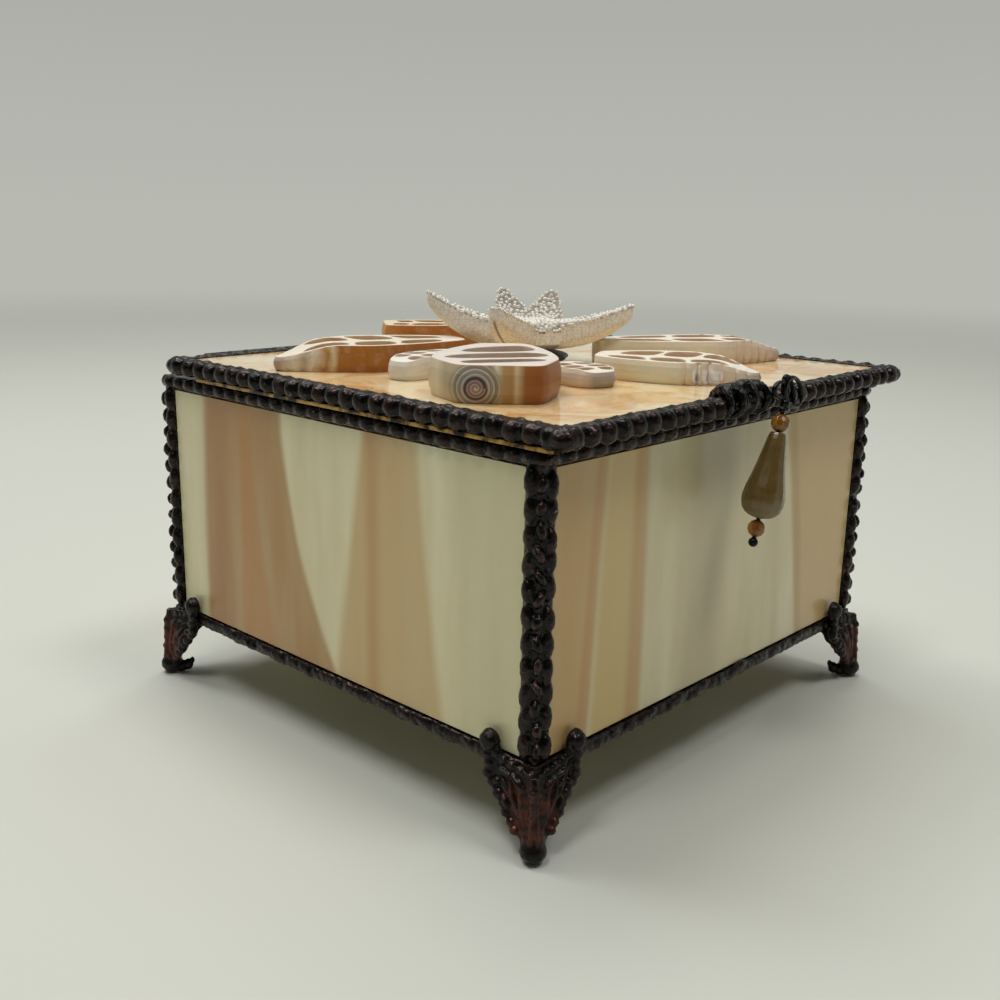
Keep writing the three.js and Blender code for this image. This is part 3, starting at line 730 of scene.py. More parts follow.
# %% [markdown]
# ## Cast feet
# The feet are small castings of two leafy wings that meet at the box's corner and run down to a curled
# toe. Each wing is a thin plate cut to an outline. Scrolls along its edge, an acanthus leaf down the
# corner and the toe are ovals laid along paths, and the casting's soft edges come from fusing them. Its
# patina wore off the leaf, where red-brown copper shows, so the leaf's share is kept on the mesh.

# %% Cast feet
KNEE = BODY_BOTTOM - 2


def swing(z):
    """How far the leg swings outwards at a height, along each side."""
    return 2.4 * (max(0.0, KNEE - z) / KNEE) ** 2 / math.sqrt(2)


def foot_at(corner, u, v, z):
    """A point of a foot: u and v run from the corner inwards along its two sides."""
    return at(corner[0] * (BODY - u + swing(z)), corner[1] * (BODY - v + swing(z)), z)


def wing_outline():
    """The outline of a wing, as distances from the corner and heights."""
    points = [(-1.5, 17.6), (3.5, 17.9), (8.2, 18.6)]
    for i in range(13):
        angle = math.radians(190 - i * 19)
        points.append((11.1 + 2.3 * math.cos(angle), 21.3 + 2.3 * math.sin(angle)))
    lobes = [(11.4, 16.6), (12.0, 14.9), (11.2, 13.1), (9.6, 12.3), (9.2, 10.6), (7.6, 9.6), (6.8, 7.7), (5.2, 6.8)]
    return points + lobes + [(4.2, 5.0), (3.0, 4.2), (2.4, 2.2), (-1.5, 2.2)]


# Distances from the corner and heights, then a scroll's radius and depth, a leaf's half length, lean
# and width, and a fillet's radius.
SCROLLS = [(11.1, 21.3, 2.1, 1.7), (11.4, 18.5, 1.2, 1.1), (10.9, 16.6, 1.15, 1.0), (11.0, 14.7, 1.3, 1.15),
           (9.9, 13.1, 1.2, 1.0), (8.5, 13.9, 0.9, 1.1), (8.3, 11.3, 1.35, 1.15), (7.0, 9.7, 1.0, 1.0),
           (6.1, 8.3, 1.2, 1.1), (4.9, 6.8, 1.0, 1.0), (4.0, 5.5, 1.0, 1.0)]
LEAVES = [(1.7, 10.6, 6.0, 0.18, 0.75), (3.5, 11.4, 4.6, 0.42, 0.7), (5.4, 13.0, 3.2, 0.75, 0.7),
          (3.1, 15.6, 2.4, 1.0, 0.65), (6.5, 16.6, 2.0, 1.3, 0.6), (5.9, 10.4, 1.8, 0.6, 0.6)]
FILLETS = [(3.2, 17.5, 1.3), (5.4, 17.9, 1.2), (7.6, 18.2, 1.3), (9.4, 18.9, 1.3)]
# The toe, from the ankle to the tip of its curl: distance from the corner, height, half lengths, detail.
TOE = [(0.5, 4.4, (2.2, 2.1, 2.3), 2), (0.5, 2.5, (2.55, 2.9, 2.75), 2), (2.3, 1.7, (1.7, 1.9, 1.5), 2),
       (3.6, 2.1, (1.6, 1.3, 1.2), 2), (4.1, 3.3, (1.0, 0.7, 0.7), 1)]
PLATE = 0.9


def add_foot(shape, corner):
    """One foot of plates, scrolls, leaves and toe."""
    out_u, out_v, rise = Vector((0, corner[1], 0)), Vector((corner[0], 0, 0)), Vector((0, 0, 1))
    for swap, out in ((False, out_u), (True, out_v)):
        def spot(along, off, z):
            return foot_at(corner, off, along, z) if swap else foot_at(corner, along, off, z)
        plate = [shape.verts.new(spot(along, 0.1, z)) for along, z in wing_outline()]
        face = shape.faces.new(plate)
        pulled = bmesh.ops.extrude_face_region(shape, geom=[face])["geom"]
        moved = [part for part in pulled if isinstance(part, bmesh.types.BMVert)]
        bmesh.ops.translate(shape, vec=out * PLATE * MM, verts=moved)
        run = Vector((-corner[0], 0, 0)) if not swap else Vector((0, -corner[1], 0))
        for along, z, radius, depth in SCROLLS:
            add_lump(shape, spot(along, -1.0, z), rise, out, (radius, depth, radius))
        for along, z, half, lean, width in LEAVES:
            direction = (rise * math.cos(lean) + run * math.sin(lean)).normalized()
            add_lump(shape, spot(along, -1.05, z), direction, out, (half, 1.15, width))
        for along, z, radius in FILLETS:
            add_lump(shape, spot(along, -0.3, z), rise, out, (radius, radius, radius), detail=1)
    diagonal = Vector((corner[0], corner[1], 0)).normalized()
    add_lump(shape, foot_at(corner, -0.9, -0.9, 10.6), rise, diagonal, (6.0, 1.25, 1.0))
    for i, z in enumerate((14.6, 12.2, 9.8, 7.4)):
        add_lump(shape, foot_at(corner, -1.35, -1.35, z), rise, diagonal, (0.95, 0.75, 1.5 - 0.2 * i), detail=1)
    for inwards, z, size, detail in TOE:
        add_lump(shape, foot_at(corner, inwards, inwards, z), rise, diagonal, size, detail=detail)


foot_shape = bmesh.new()
for corner in CORNERS.values():
    add_foot(foot_shape, corner)
bmesh.ops.recalc_face_normals(foot_shape, faces=foot_shape.faces)
print("feet of", len(foot_shape.verts), "corners before they are fused")

# %% [markdown]
# ### The feet's metal
# The castings are copper-coated and blackened, then rubbed on the leaf, so red-brown copper shows there
# in patches. How far a point belongs to the leaf is worked out from its place and kept on the mesh.

# %% The feet's metal
cast_metal, tree, shader = patina_metal("worn_cast_foot", "#0C0908", "#45342F", 0.3, 0.74)
leaf_share = add_node(tree, "ShaderNodeAttribute", attribute_name="copper")
place = add_node(tree, "ShaderNodeTexCoord")
rub = add_node(
    tree, "ShaderNodeTexNoise",
    {"Vector": place.outputs["Object"], "Scale": 1 / (2.6 * MM), "Detail": 5.0, "Roughness": 0.65},
)
rubbed = add_node(
    tree, "ShaderNodeMapRange", {"Value": rub.outputs["Fac"], "From Min": 0.4, "From Max": 0.58, "To Max": 0.85},
)
share = add_node(tree, "ShaderNodeMath", {0: leaf_share.outputs["Fac"], 1: rubbed.outputs[0]}, operation="MULTIPLY")
black = shader.inputs["Base Color"].links[0].from_socket
copper = add_node(tree, "ShaderNodeMix", {0: share.outputs[0], 6: black, 7: colour("#5E2C20")}, data_type="RGBA")
tree.links.new(copper.outputs[2], shader.inputs["Base Color"])

feet = piece_from(foot_shape, "cast_feet", "box", "foot_metal", cast_metal, *(f"foot_{name}" for name in CORNERS))
fuse(feet, 0.27, rounds=1, lumps=0.2, lump_size=0.9)


def keep_values(piece, name, values):
    """Keeps one number per vertex on a piece, for its material to read."""
    layer = piece.data.attributes.new(name, "FLOAT", "POINT")
    layer.data.foreach_set("value", values)


def smooth_step(value, low, high):
    """0 below low, 1 above high, and a soft climb between."""
    share = min(1.0, max(0.0, (value - low) / (high - low)))
    return share * share * (3 - 2 * share)


copper_shares = []
for vertex in feet.data.vertices:
    vertex.co.z = max(vertex.co.z, 0.0)
    inward = max(BODY - abs(vertex.co.x) / MM, BODY - abs(vertex.co.y - MIDDLE_Y) / MM)
    height = vertex.co.z / MM
    on_leaf = (1 - smooth_step(inward, 3.5, 7.5)) * (1 - smooth_step(height, 13, 17))
    copper_shares.append(on_leaf * smooth_step(height, 3.5, 6))
keep_values(feet, "copper", copper_shares)
print("feet stand at z =", round(min(v.co.z for v in feet.data.vertices) / MM, 3), "mm")

# %% [markdown]
# ## The hinge
# A drawn brass tube is soldered along the lid's back edge and turns on a rod whose bent ends stand on
# the back rim. A profile that is spun round the hinge's axis gives the tube, with a fine ring cut where
# two lengths of tube meet. The rod is a cylinder with balls at its bends.

# %% The hinge
ROD_RADIUS, BALL_RADIUS, BEND_INSET, LEG_FOOT = 0.8 * MM, 0.85 * MM, 1.2 * MM, 1.15 * MM
CHAMFER, RING_HALF, RING_DEPTH = 0.2 * MM, 0.4 * MM, 0.3 * MM

tube_low, tube_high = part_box("hinge_tube")
hinge_middle = (tube_low + tube_high) / 2
half_tube = (tube_high.x - tube_low.x) / 2
outer, bore = (tube_high.z - tube_low.z) / 2, 1.1 * MM
tube_shape = bmesh.new()
profile = [(-half_tube, bore), (-half_tube, outer - CHAMFER), (-half_tube + CHAMFER, outer)]
for ring in (-0.6, -0.2, 0.2, 0.6):
    x = ring * half_tube
    profile += [(x - RING_HALF, outer), (x, outer - RING_DEPTH), (x + RING_HALF, outer)]
profile += [(half_tube - CHAMFER, outer), (half_tube, outer - CHAMFER), (half_tube, bore)]
loop = [tube_shape.verts.new(hinge_middle + Vector((x, 0, radius))) for x, radius in profile]
edges = [tube_shape.edges.new((a, b)) for a, b in zip(loop, loop[1:] + loop[:1])]
bmesh.ops.spin(
    tube_shape, geom=loop + edges, cent=hinge_middle, axis=(1, 0, 0), angle=2 * math.pi, steps=40, use_merge=True,
)
bmesh.ops.recalc_face_normals(tube_shape, faces=tube_shape.faces)
hinge_metal = patina_metal("darkened_brass", "#2A2018", "#6E5534", 0.28, 0.74)[0]
hinge_tube = piece_from(tube_shape, "hinge_barrel", "lid", "hinge_metal", hinge_metal, "hinge_tube")
hinge_tube.data.set_sharp_from_angle(angle=math.radians(40))
report(hinge_tube)

rod_low, rod_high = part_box("hinge_rod")
half_rod = (rod_high.x - rod_low.x) / 2
rod_shape = bmesh.new()
across_x = Matrix.Rotation(math.pi / 2, 4, "Y")
bmesh.ops.create_cone(
    rod_shape, cap_ends=True, segments=24, radius1=ROD_RADIUS, radius2=ROD_RADIUS, depth=2 * (half_rod - BEND_INSET),
    matrix=Matrix.Translation(hinge_middle) @ across_x,
)
for end in (-1, 1):
    bend = hinge_middle + Vector((end * (half_rod - BEND_INSET), 0, 0))
    bmesh.ops.create_icosphere(rod_shape, subdivisions=3, radius=BALL_RADIUS, matrix=Matrix.Translation(bend))
    leg = bend.z - rod_low.z
    bmesh.ops.create_cone(
        rod_shape, cap_ends=True, segments=24, radius1=LEG_FOOT, radius2=ROD_RADIUS, depth=leg,
        matrix=Matrix.Translation(bend - Vector((0, 0, leg / 2))),
    )
hinge_rod = piece_from(rod_shape, "hinge_wire", "box", "hinge_metal", hinge_metal, "hinge_rod")
fuse(hinge_rod, 0.2, rounds=2)

# %% [markdown]
# ## Cut shells
# The shells were sliced lengthwise and polished. A slice is a thin outer wall with a core down its
# middle and open chambers that curl round it. A table says where each slice lies, from its tip to its
# foot, and how wide, thick and blunt it is. Its outline follows from that, with ribs along its spire.

# %% Outlines of the slices
SHELLS = {
    "shell_left": dict(tip=(-56.5, 24.5), foot=(-13.5, 7.5), left=12, right=10, thick=6.2, spire=0.42, blunt=0.1),
    "shell_back": dict(tip=(-4.5, 46.5), foot=(22, 26), left=8, right=8, thick=6.4, spire=0.26, blunt=0.8),
    "shell_near": dict(tip=(-50, -42.8), foot=(-22.5, -16.8), left=16, right=10, thick=7.6, spire=0.3, blunt=0.62),
    "shell_small_left": dict(tip=(-45.5, -5.2), foot=(-25, -1), left=4.6, right=4.6, thick=5, spire=0.35, blunt=0.6),
    "shell_small_front": dict(tip=(-18.5, -41.5), foot=(-15.5, -27), left=6, right=5, thick=4, spire=0.35, blunt=0.6),
    "shell_front": dict(tip=(12.5, -60.5), foot=(-4.5, -27.5), left=9, right=13.5, thick=5, spire=0.42, blunt=0.1),
    "shell_right": dict(tip=(55, -40.5), foot=(13, -13), left=9, right=8, thick=6, spire=0.36, blunt=0.1),
}
OUTLINE_STEPS, OUTLINE_SPACING, OUTLINE_ROUNDS = 44, 0.55, 14
RIB_PITCH = 2.6


def shell_width(share, form):
    """Half width of a slice, as a share of its greatest, from its tip to its foot."""
    if share < form["spire"]:
        return form["blunt"] + (1 - form["blunt"]) * (share / form["spire"]) ** 0.85
    return math.cos(1.25 * (share - form["spire"]) / (1 - form["spire"])) ** 0.8


def rounded(loop, spacing, rounds):
    """The same loop with even spacing and its corners rounded by averaging neighbours."""
    closed = [Vector(p) for p in loop + loop[:1]]
    total = sum((b - a).length for a, b in zip(closed, closed[1:]))
    count = round(total / spacing)
    even, walked, i = [], 0.0, 0
    for k in range(count):
        target = total * k / count
        while walked + (closed[i + 1] - closed[i]).length < target:
            walked += (closed[i + 1] - closed[i]).length
            i += 1
        step = (closed[i + 1] - closed[i]).length
        even.append(closed[i].lerp(closed[i + 1], (target - walked) / step if step else 0.0))
    for _ in range(rounds):
        even = [(even[k - 1] + 2 * even[k] + even[(k + 1) % count]) / 4 for k in range(count)]
    return [tuple(p) for p in even]


def outline_of(form, length, ribs):
    """The outline, from the tip down the right side and back up the left, in millimetres."""
    points = []
    for side in (-1, 1):
        reach = form["left"] if side > 0 else form["right"]
        for i in range(OUTLINE_STEPS + 1):
            share = i / OUTLINE_STEPS if side < 0 else 1 - i / OUTLINE_STEPS
            points.append((share * length, side * reach * shell_width(share, form)))
    ribbed = []
    for x, y in rounded(points, OUTLINE_SPACING, OUTLINE_ROUNDS):
        groove = 1 - abs(math.sin(math.pi * x / RIB_PITCH))
        fade = 1 - smooth_step(x / length, form["spire"] * 0.8, form["spire"] * 1.3)
        ribbed.append((x, y - math.copysign(ribs * groove ** 2 * fade, y)))
    return ribbed


print(len(SHELLS), "slices planned")

# %% [markdown]
# ### Chambers
# Cut lengthwise, a shell shows drop-shaped chambers on both sides of its core, set off by half a
# chamber from one side to the other. Cut across its crown, it shows crescents, one behind the other.
# Both are drawn as rounded loops, whose corners are squared with a power below one.

# %% Chambers
WALL, CORE, CROSS = 0.07, 0.045, 0.022
STAGGER = 0.05
CRESCENTS = [(0.2, 0.075, 0.77), (0.43, 0.115, 0.82), (0.73, 0.15, 0.72)]


def chambers_of(form, length):
    """The open chambers: drops on both sides of the core, narrow towards the foot."""
    marks = [form["spire"] * 0.42, form["spire"], form["spire"] + (1 - form["spire"]) * 0.42, 0.93]
    loops = []
    for side in (-1, 1):
        reach = form["left"] if side > 0 else form["right"]
        for start, end in zip(marks, marks[1:]):
            middle = (start + end) / 2 - (STAGGER if side < 0 else 0.0)
            half = (end - start - CROSS) / 2
            loop = []
            for k in range(30):
                angle = 2 * math.pi * k / 30
                c, s = math.cos(angle), math.sin(angle)
                narrow = 1 - 0.42 * max(0.0, c) ** 2
                out = 0.53 + 0.47 * narrow * math.copysign(abs(s) ** 0.5, s) + 0.12 * max(0.0, c)
                sweep = 0.5 * half * (0.5 - out)
                share = middle + half * math.copysign(abs(c) ** 0.52, c) * 0.97 + sweep
                room = shell_width(share, form) - WALL - CORE
                loop.append((share * length, side * reach * (CORE + out * room)))
            loops.append(loop)
    return loops


def crown_chambers_of(form, length):
    """The crescents of a slice across a shell's crown: they lie one behind the other."""
    loops = []
    for middle, half, span in CRESCENTS:
        loop = []
        for k in range(36):
            angle = 2 * math.pi * k / 36
            side = math.copysign(abs(math.cos(angle)) ** 0.65, math.cos(angle)) * span
            lift = math.copysign(abs(math.sin(angle)) ** 0.8, math.sin(angle))
            share = middle + half * lift - 0.09 * side - 0.05 * side * side
            reach = form["left"] if side > 0 else form["right"]
            loop.append((share * length, side * reach * shell_width(max(0.02, share), form)))
        loops.append(loop)
    return loops


print("chambers take", WALL, "of the half width as wall and", CORE, "as core")

# %% [markdown]
# ### Cutting a slice
# The outline and the chambers are filled as one flat face with holes, which is then raised in four
# steps, so that the steps in between can bulge outwards. Its cut edges get a small bevel, as polishing
# leaves. The mesh keeps three values for the finish: what is outside, what is cut face, and how far
# along the shell a point lies.

# %% Cutting a slice
LEVELS = 4
CUT_BEVEL = 0.22
RIM_DEPTH = 0.12
ON_THE_GLASS = 0.02


def cut_shell(name, material, slot, ribs=0.0, bulge=0.5, chambers=chambers_of, tip_height=1.0):
    """Builds one slice and keeps where its outside, its cut face and its length are."""
    form = SHELLS[name]
    tip, foot = Vector(form["tip"]), Vector(form["foot"])
    length = (foot - tip).length
    heading = (foot - tip).normalized()
    shape = bmesh.new()
    outer_wall = shape.verts.layers.float.new("outside")
    edges = []
    for i, loop in enumerate([outline_of(form, length, ribs), *chambers(form, length)]):
        verts = [shape.verts.new((x, y, 0)) for x, y in loop]
        edges += [shape.edges.new((a, b)) for a, b in zip(verts, verts[1:] + verts[:1])]
        for vert in verts:
            vert[outer_wall] = 1.0 if i == 0 else 0.0
    bmesh.ops.triangle_fill(shape, edges=edges, use_beauty=True)
    region = list(shape.faces)
    for _ in range(LEVELS):
        pulled = bmesh.ops.extrude_face_region(shape, geom=region)["geom"]
        region = [part for part in pulled if isinstance(part, bmesh.types.BMFace)]
        moved = [part for part in pulled if isinstance(part, bmesh.types.BMVert)]
        bmesh.ops.translate(shape, vec=(0, 0, form["thick"] / LEVELS), verts=moved)
    bmesh.ops.recalc_face_normals(shape, faces=shape.faces)
    for vert in shape.verts:
        belly = 1 - (2 * vert.co.z / form["thick"] - 1) ** 2
        vert.co.y += math.copysign(bulge * belly, vert.co.y) * vert[outer_wall]
        if vert.co.x < 0.02 * length:
            vert.co.x -= bulge * belly * vert[outer_wall]
    sharp = [e for e in shape.edges if len(e.link_faces) == 2 and e.calc_face_angle() > math.radians(55)
             and max(abs(f.normal.z) for f in e.link_faces) > 0.9]
    bmesh.ops.bevel(shape, geom=sharp, offset=CUT_BEVEL, segments=2, profile=0.5, material=-1, affect="EDGES")
    rim, along = [], []
    for vert in shape.verts:
        share = vert.co.x / length
        rim.append(1.0 if vert.co.z > form["thick"] - RIM_DEPTH else 0.0)
        along.append(share)
        vert.co.z *= tip_height + (1 - tip_height) * smooth_step(share, -0.02, form["spire"] * 0.7)
    turn = Matrix.Rotation(math.atan2(heading.y, heading.x), 4, "Z")
    base = Matrix.Translation(at(tip.x, tip.y, LID_TOP + ON_THE_GLASS))
    bmesh.ops.transform(shape, matrix=base @ turn @ Matrix.Diagonal((MM, MM, MM, 1)), verts=shape.verts)
    slice_piece = piece_from(shape, name + "_slice", "lid", slot, material, name)
    keep_values(slice_piece, "rim", rim)
    keep_values(slice_piece, "along", along)
    slice_piece.data.set_sharp_from_angle(angle=math.radians(50))
    report(slice_piece)


print("slices are raised in", LEVELS, "steps")

# %% [markdown]
# ### Polished shell
# Shell is a fine, hard lime with a satin gloss when polished, and light goes a little way into it. The
# cut faces are white, the chambers are lined in buff and pink, partly their own tone and partly painted
# shade of their depth, and the outside keeps the shell's own bands, which run across its length. A ramp
# along the length gives the bands, with a slight drift.

# %% Polished shell
def shell_finish(name, bands, inner, rim_tone, pattern):
    """Polished shell: bands are (share of the length, colour) on the outside, pattern the flecks in mm.

    It also gives the node that mixes the outside in, so that a finish can put another one there.
    """
    material, tree, shader = new_material(
        name, Roughness=0.42, IOR=1.53, Subsurface_Weight=0.2, Subsurface_Scale=0.0015, Coat_Weight=0.1,
        Coat_Roughness=0.25,
    )
    place = add_node(tree, "ShaderNodeTexCoord")
    cloud = add_node(
        tree, "ShaderNodeTexNoise",
        {"Vector": place.outputs["Object"], "Scale": 1 / (5 * MM), "Detail": 5.0, "Roughness": 0.6},
    )
    along = add_node(tree, "ShaderNodeAttribute", attribute_name="along")
    drift = add_node(
        tree, "ShaderNodeMapRange",
        {"Value": cloud.outputs["Fac"], "From Min": 0.3, "From Max": 0.7, "To Min": -0.02, "To Max": 0.02},
    )
    run = add_node(tree, "ShaderNodeMath", {0: along.outputs["Fac"], 1: drift.outputs[0]}, operation="ADD")
    outer = add_node(
        tree, "ShaderNodeValToRGB", {"Fac": run.outputs[0]}, stops=[(p, colour(c)) for p, c in bands],
    )
    fleck = add_node(
        tree, "ShaderNodeTexNoise",
        {"Vector": place.outputs["Object"], "Scale": 1 / (pattern * MM), "Detail": 4.0, "Roughness": 0.7},
    )
    pale = add_node(
        tree, "ShaderNodeMapRange", {"Value": fleck.outputs["Fac"], "From Min": 0.5, "From Max": 0.75, "To Max": 0.22},
    )
    skin = add_node(
        tree, "ShaderNodeMix", {0: pale.outputs[0], 6: outer.outputs["Color"], 7: colour(rim_tone)}, data_type="RGBA",
    )
    # The chambers' lining: their own buff and pink, made darker as painted shade inside the chambers.
    lining_and_shade = add_node(
        tree, "ShaderNodeMix", {0: cloud.outputs["Fac"], 6: colour(inner[0]), 7: colour(inner[1])}, data_type="RGBA",
    )
    outside = add_node(tree, "ShaderNodeAttribute", attribute_name="outside")
    wall = add_node(
        tree, "ShaderNodeMix", {0: outside.outputs["Fac"], 6: lining_and_shade.outputs[2], 7: skin.outputs[2]}, data_type="RGBA",
    )
    rim = add_node(tree, "ShaderNodeAttribute", attribute_name="rim")
    whole = add_node(
        tree, "ShaderNodeMix", {0: rim.outputs["Fac"], 6: wall.outputs[2], 7: colour(rim_tone)}, data_type="RGBA",
    )
    tree.links.new(whole.outputs[2], shader.inputs["Base Color"])
    bump = add_node(tree, "ShaderNodeBump", {"Height": fleck.outputs["Fac"], "Strength": 0.25, "Distance": 0.15 * MM})
    tree.links.new(bump.outputs["Normal"], shader.inputs["Normal"])
    return material, tree, wall


tan_shell = shell_finish(
    "banded_tan_shell",
    [(0.0, "#A98F80"), (0.95, "#985A18"), (0.03, "#C9B09C"), (0.08, "#DCCDB6"), (0.13, "#B7A58C"), (0.165, "#E4D8C2"),
     (0.215, "#B4823F"), (0.245, "#D8C6A4"), (0.28, "#A86D22"), (0.6, "#A0631C")],
    ("#B79468", "#D9C4A2"), "#EADFCB", pattern=3,
)[0]
orange_shell = shell_finish(
    "orange_shell", [(0.0, "#B67A30"), (1.0, "#985A18"), (0.2, "#A6661F"), (0.6, "#A0621C")],
    ("#B08552", "#D2B68C"), "#E6D6B8", pattern=3,
)[0]
cream_shell = shell_finish(
    "cream_shell", [(0.0, "#A99A8C"), (1.0, "#E2D6BC"), (0.05, "#CDB7A6"), (0.14, "#E0CFBD"), (0.3, "#DCC9B4"),
                    (0.5, "#E4D9BE"), (0.8, "#DDCFAE")],
    ("#BFA083", "#DCC8AE"), "#EFE6D3", pattern=4,
)[0]
white_shell = shell_finish(
    "white_shell", [(0.0, "#DCD2C4"), (1.0, "#E9E1D2"), (0.5, "#E4DACA")],
    ("#C4AC93", "#E2D4C0"), "#EFE8DA", pattern=4,
)[0]
eye_shell, tree, outer_wall_mix = shell_finish(
    "spiral_shell", [(0.0, "#CFC3B2"), (1.0, "#824810"), (0.1, "#B5A07E"), (0.3, "#AE823E"), (0.6, "#8A5112")],
    ("#A79388", "#D2C3B2"), "#E4DACD", pattern=4,
)
print("shell finishes ready")

# %% [markdown]
# ### The spiral on the nearest shell
# The nearest slice was cut across its shell's crown, so its outside shows the spiral of the crown: thin
# grey, white and purple-grey lines that wind round a pinkish point, then broader bands of tan. The
# distance from that point, plus a share of the angle round it, gives lines that wind.

# %% The spiral on the nearest shell
EYE = at(-54.2, -37.6, LID_TOP + 3.1)
WHORL = 0.62 * MM
# The lines wind up to here, and are plain rings beyond it.
WINDING_FADES, WINDING_ENDS = 1.7 * MM, 2.5 * MM
RINGS_REACH, RINGS_FADE, RINGS_END = 6 * MM, 4.6 * MM, 5.6 * MM
RINGS = [(0.0, "#CDB5AC"), (1.0, "#A39270"), (0.06, "#C3A9A2"), (0.09, "#6E5B59"), (0.12, "#A98F8A"),
         (0.17, "#B9A29B"), (0.2, "#5E4C4B"), (0.24, "#9D8580"), (0.29, "#A58E87"), (0.31, "#4C3D3F"),
         (0.38, "#564648"), (0.4, "#A39893"), (0.45, "#C9C1B7"), (0.48, "#8C8578"), (0.57, "#989180"),
         (0.6, "#D3CCBD"), (0.64, "#7F7867"), (0.74, "#9A8E72"), (0.77, "#C8BDA4"), (0.8, "#9C8C6A")]
BROAD_BANDS = [(0.0, "#92521A"), (1.0, "#C7B28E"), (0.22, "#95561C"), (0.3, "#9A6228"), (0.36, "#D3BE96"),
               (0.39, "#B18A55"), (0.45, "#B59462"), (0.5, "#E0D6C2"), (0.54, "#9C9184"), (0.6, "#CDBFA6"),
               (0.86, "#B7A27C"), (0.92, "#D5C6A6")]

place = add_node(tree, "ShaderNodeTexCoord")
near = SHELLS["shell_near"]
heading = math.atan2(near["foot"][1] - near["tip"][1], near["foot"][0] - near["tip"][0])
centred = add_node(
    tree, "ShaderNodeMapping", {"Vector": place.outputs["Object"], "Location": EYE, "Rotation": (0, 0, heading)},
    vector_type="TEXTURE",
)
parts = add_node(tree, "ShaderNodeSeparateXYZ", {0: centred.outputs["Vector"]})
aside = add_node(tree, "ShaderNodeCombineXYZ", {"X": parts.outputs["Y"], "Y": parts.outputs["Z"]})
radius = add_node(tree, "ShaderNodeVectorMath", {0: aside.outputs[0]}, operation="LENGTH")
angle = add_node(tree, "ShaderNodeMath", {0: parts.outputs["Z"], 1: parts.outputs["Y"]}, operation="ARCTAN2")
inner_share = add_node(
    tree, "ShaderNodeMapRange",
    {"Value": radius.outputs["Value"], "From Min": WINDING_FADES, "From Max": WINDING_ENDS,
     "To Min": WHORL / (2 * math.pi), "To Max": 0.0},
)
wound = add_node(tree, "ShaderNodeMath", {0: angle.outputs[0], 1: inner_share.outputs[0]}, operation="MULTIPLY")
reach = add_node(tree, "ShaderNodeMath", {0: radius.outputs["Value"], 1: wound.outputs[0]}, operation="ADD")
ring_share = add_node(tree, "ShaderNodeMapRange", {"Value": reach.outputs[0], "From Max": RINGS_REACH})
stripes = add_node(
    tree, "ShaderNodeValToRGB", {"Fac": ring_share.outputs[0]}, stops=[(spot, colour(tone)) for spot, tone in RINGS],
)
fade = add_node(
    tree, "ShaderNodeMapRange",
    {"Value": radius.outputs["Value"], "From Min": RINGS_FADE, "From Max": RINGS_END, "To Min": 1.0, "To Max": 0.0},
)
aside_run = add_node(
    tree, "ShaderNodeMapRange", {"Value": parts.outputs["Y"], "From Min": -18 * MM, "From Max": 10 * MM},
)
broad = add_node(
    tree, "ShaderNodeValToRGB", {"Fac": aside_run.outputs[0]},
    stops=[(spot, colour(tone)) for spot, tone in BROAD_BANDS],
)
spiral = add_node(
    tree, "ShaderNodeMix", {0: fade.outputs[0], 6: broad.outputs["Color"], 7: stripes.outputs["Color"]},
    data_type="RGBA",
)
tree.links.new(spiral.outputs[2], outer_wall_mix.inputs[7])
print("spiral of", len(RINGS), "tones")

# %% [markdown]
# ### The seven slices
# Five slices are creamy or white and two are orange-brown. The nearest is the one cut across its crown.
# The pointed ones lie lower at their tips, where the shell was thinner.

# %% The seven slices
cut_shell("shell_left", tan_shell, "shell_tan", ribs=0.5, tip_height=0.5)
cut_shell("shell_back", orange_shell, "shell_tan")
cut_shell("shell_near", eye_shell, "shell", bulge=0.7, chambers=crown_chambers_of)
cut_shell("shell_small_left", white_shell, "shell", tip_height=0.85)
cut_shell("shell_small_front", cream_shell, "shell", tip_height=0.85)
cut_shell("shell_front", cream_shell, "shell", ribs=0.9, tip_height=0.5)
cut_shell("shell_right", cream_shell, "shell", ribs=0.8, tip_height=0.5)

# %% [markdown]
# ## The starfish
# The dried starfish has five arms that curl up, a smooth underside with fine plates along its edge, and
# a top of small round spines, with painted shade darkening the pits between them. The body is a sphere
# drawn out along its arms. The spines are a few hundred small spheres, spread with a least distance
# between them and fused.

# %% The starfish
# An arm is its direction in degrees, then its reach and rise as shares of the greatest reach.
ARMS = [(196, 0.74, 0.24), (134, 0.98, 0.34), (70, 0.6, 0.35), (20, 0.6, 0.33), (306, 0.98, 0.25)]
REACH, THICK, WAIST, FLAT = 26.0, 7.0, 0.38, 0.2
ARM_HALF_ANGLE, ARM_POWER, ARM_FULL = 0.6, 1.4, 1.18
BLUNT, TAPER, CURL = 4.5, 0.24, 2.3
STAR = at(2, -1, LID_TOP + 0.6 + 2.6 + THICK / 2)


def star_at(angle):
    """Reach and rise of the starfish in one direction, and how far it is off its nearest arm."""
    best = (WAIST, 0.0, 0.0)
    for degrees, reach, rise in ARMS:
        off = abs((angle - math.radians(degrees) + math.pi) % (2 * math.pi) - math.pi)
        near = min(1.0, ARM_FULL * max(0.0, 1 - off / ARM_HALF_ANGLE) ** ARM_POWER)
        long = WAIST + (reach - WAIST) * near
        if long > best[0]:
            best = (long, rise * ((long - FLAT) / (reach - FLAT)) ** 1.5, off)
    return best


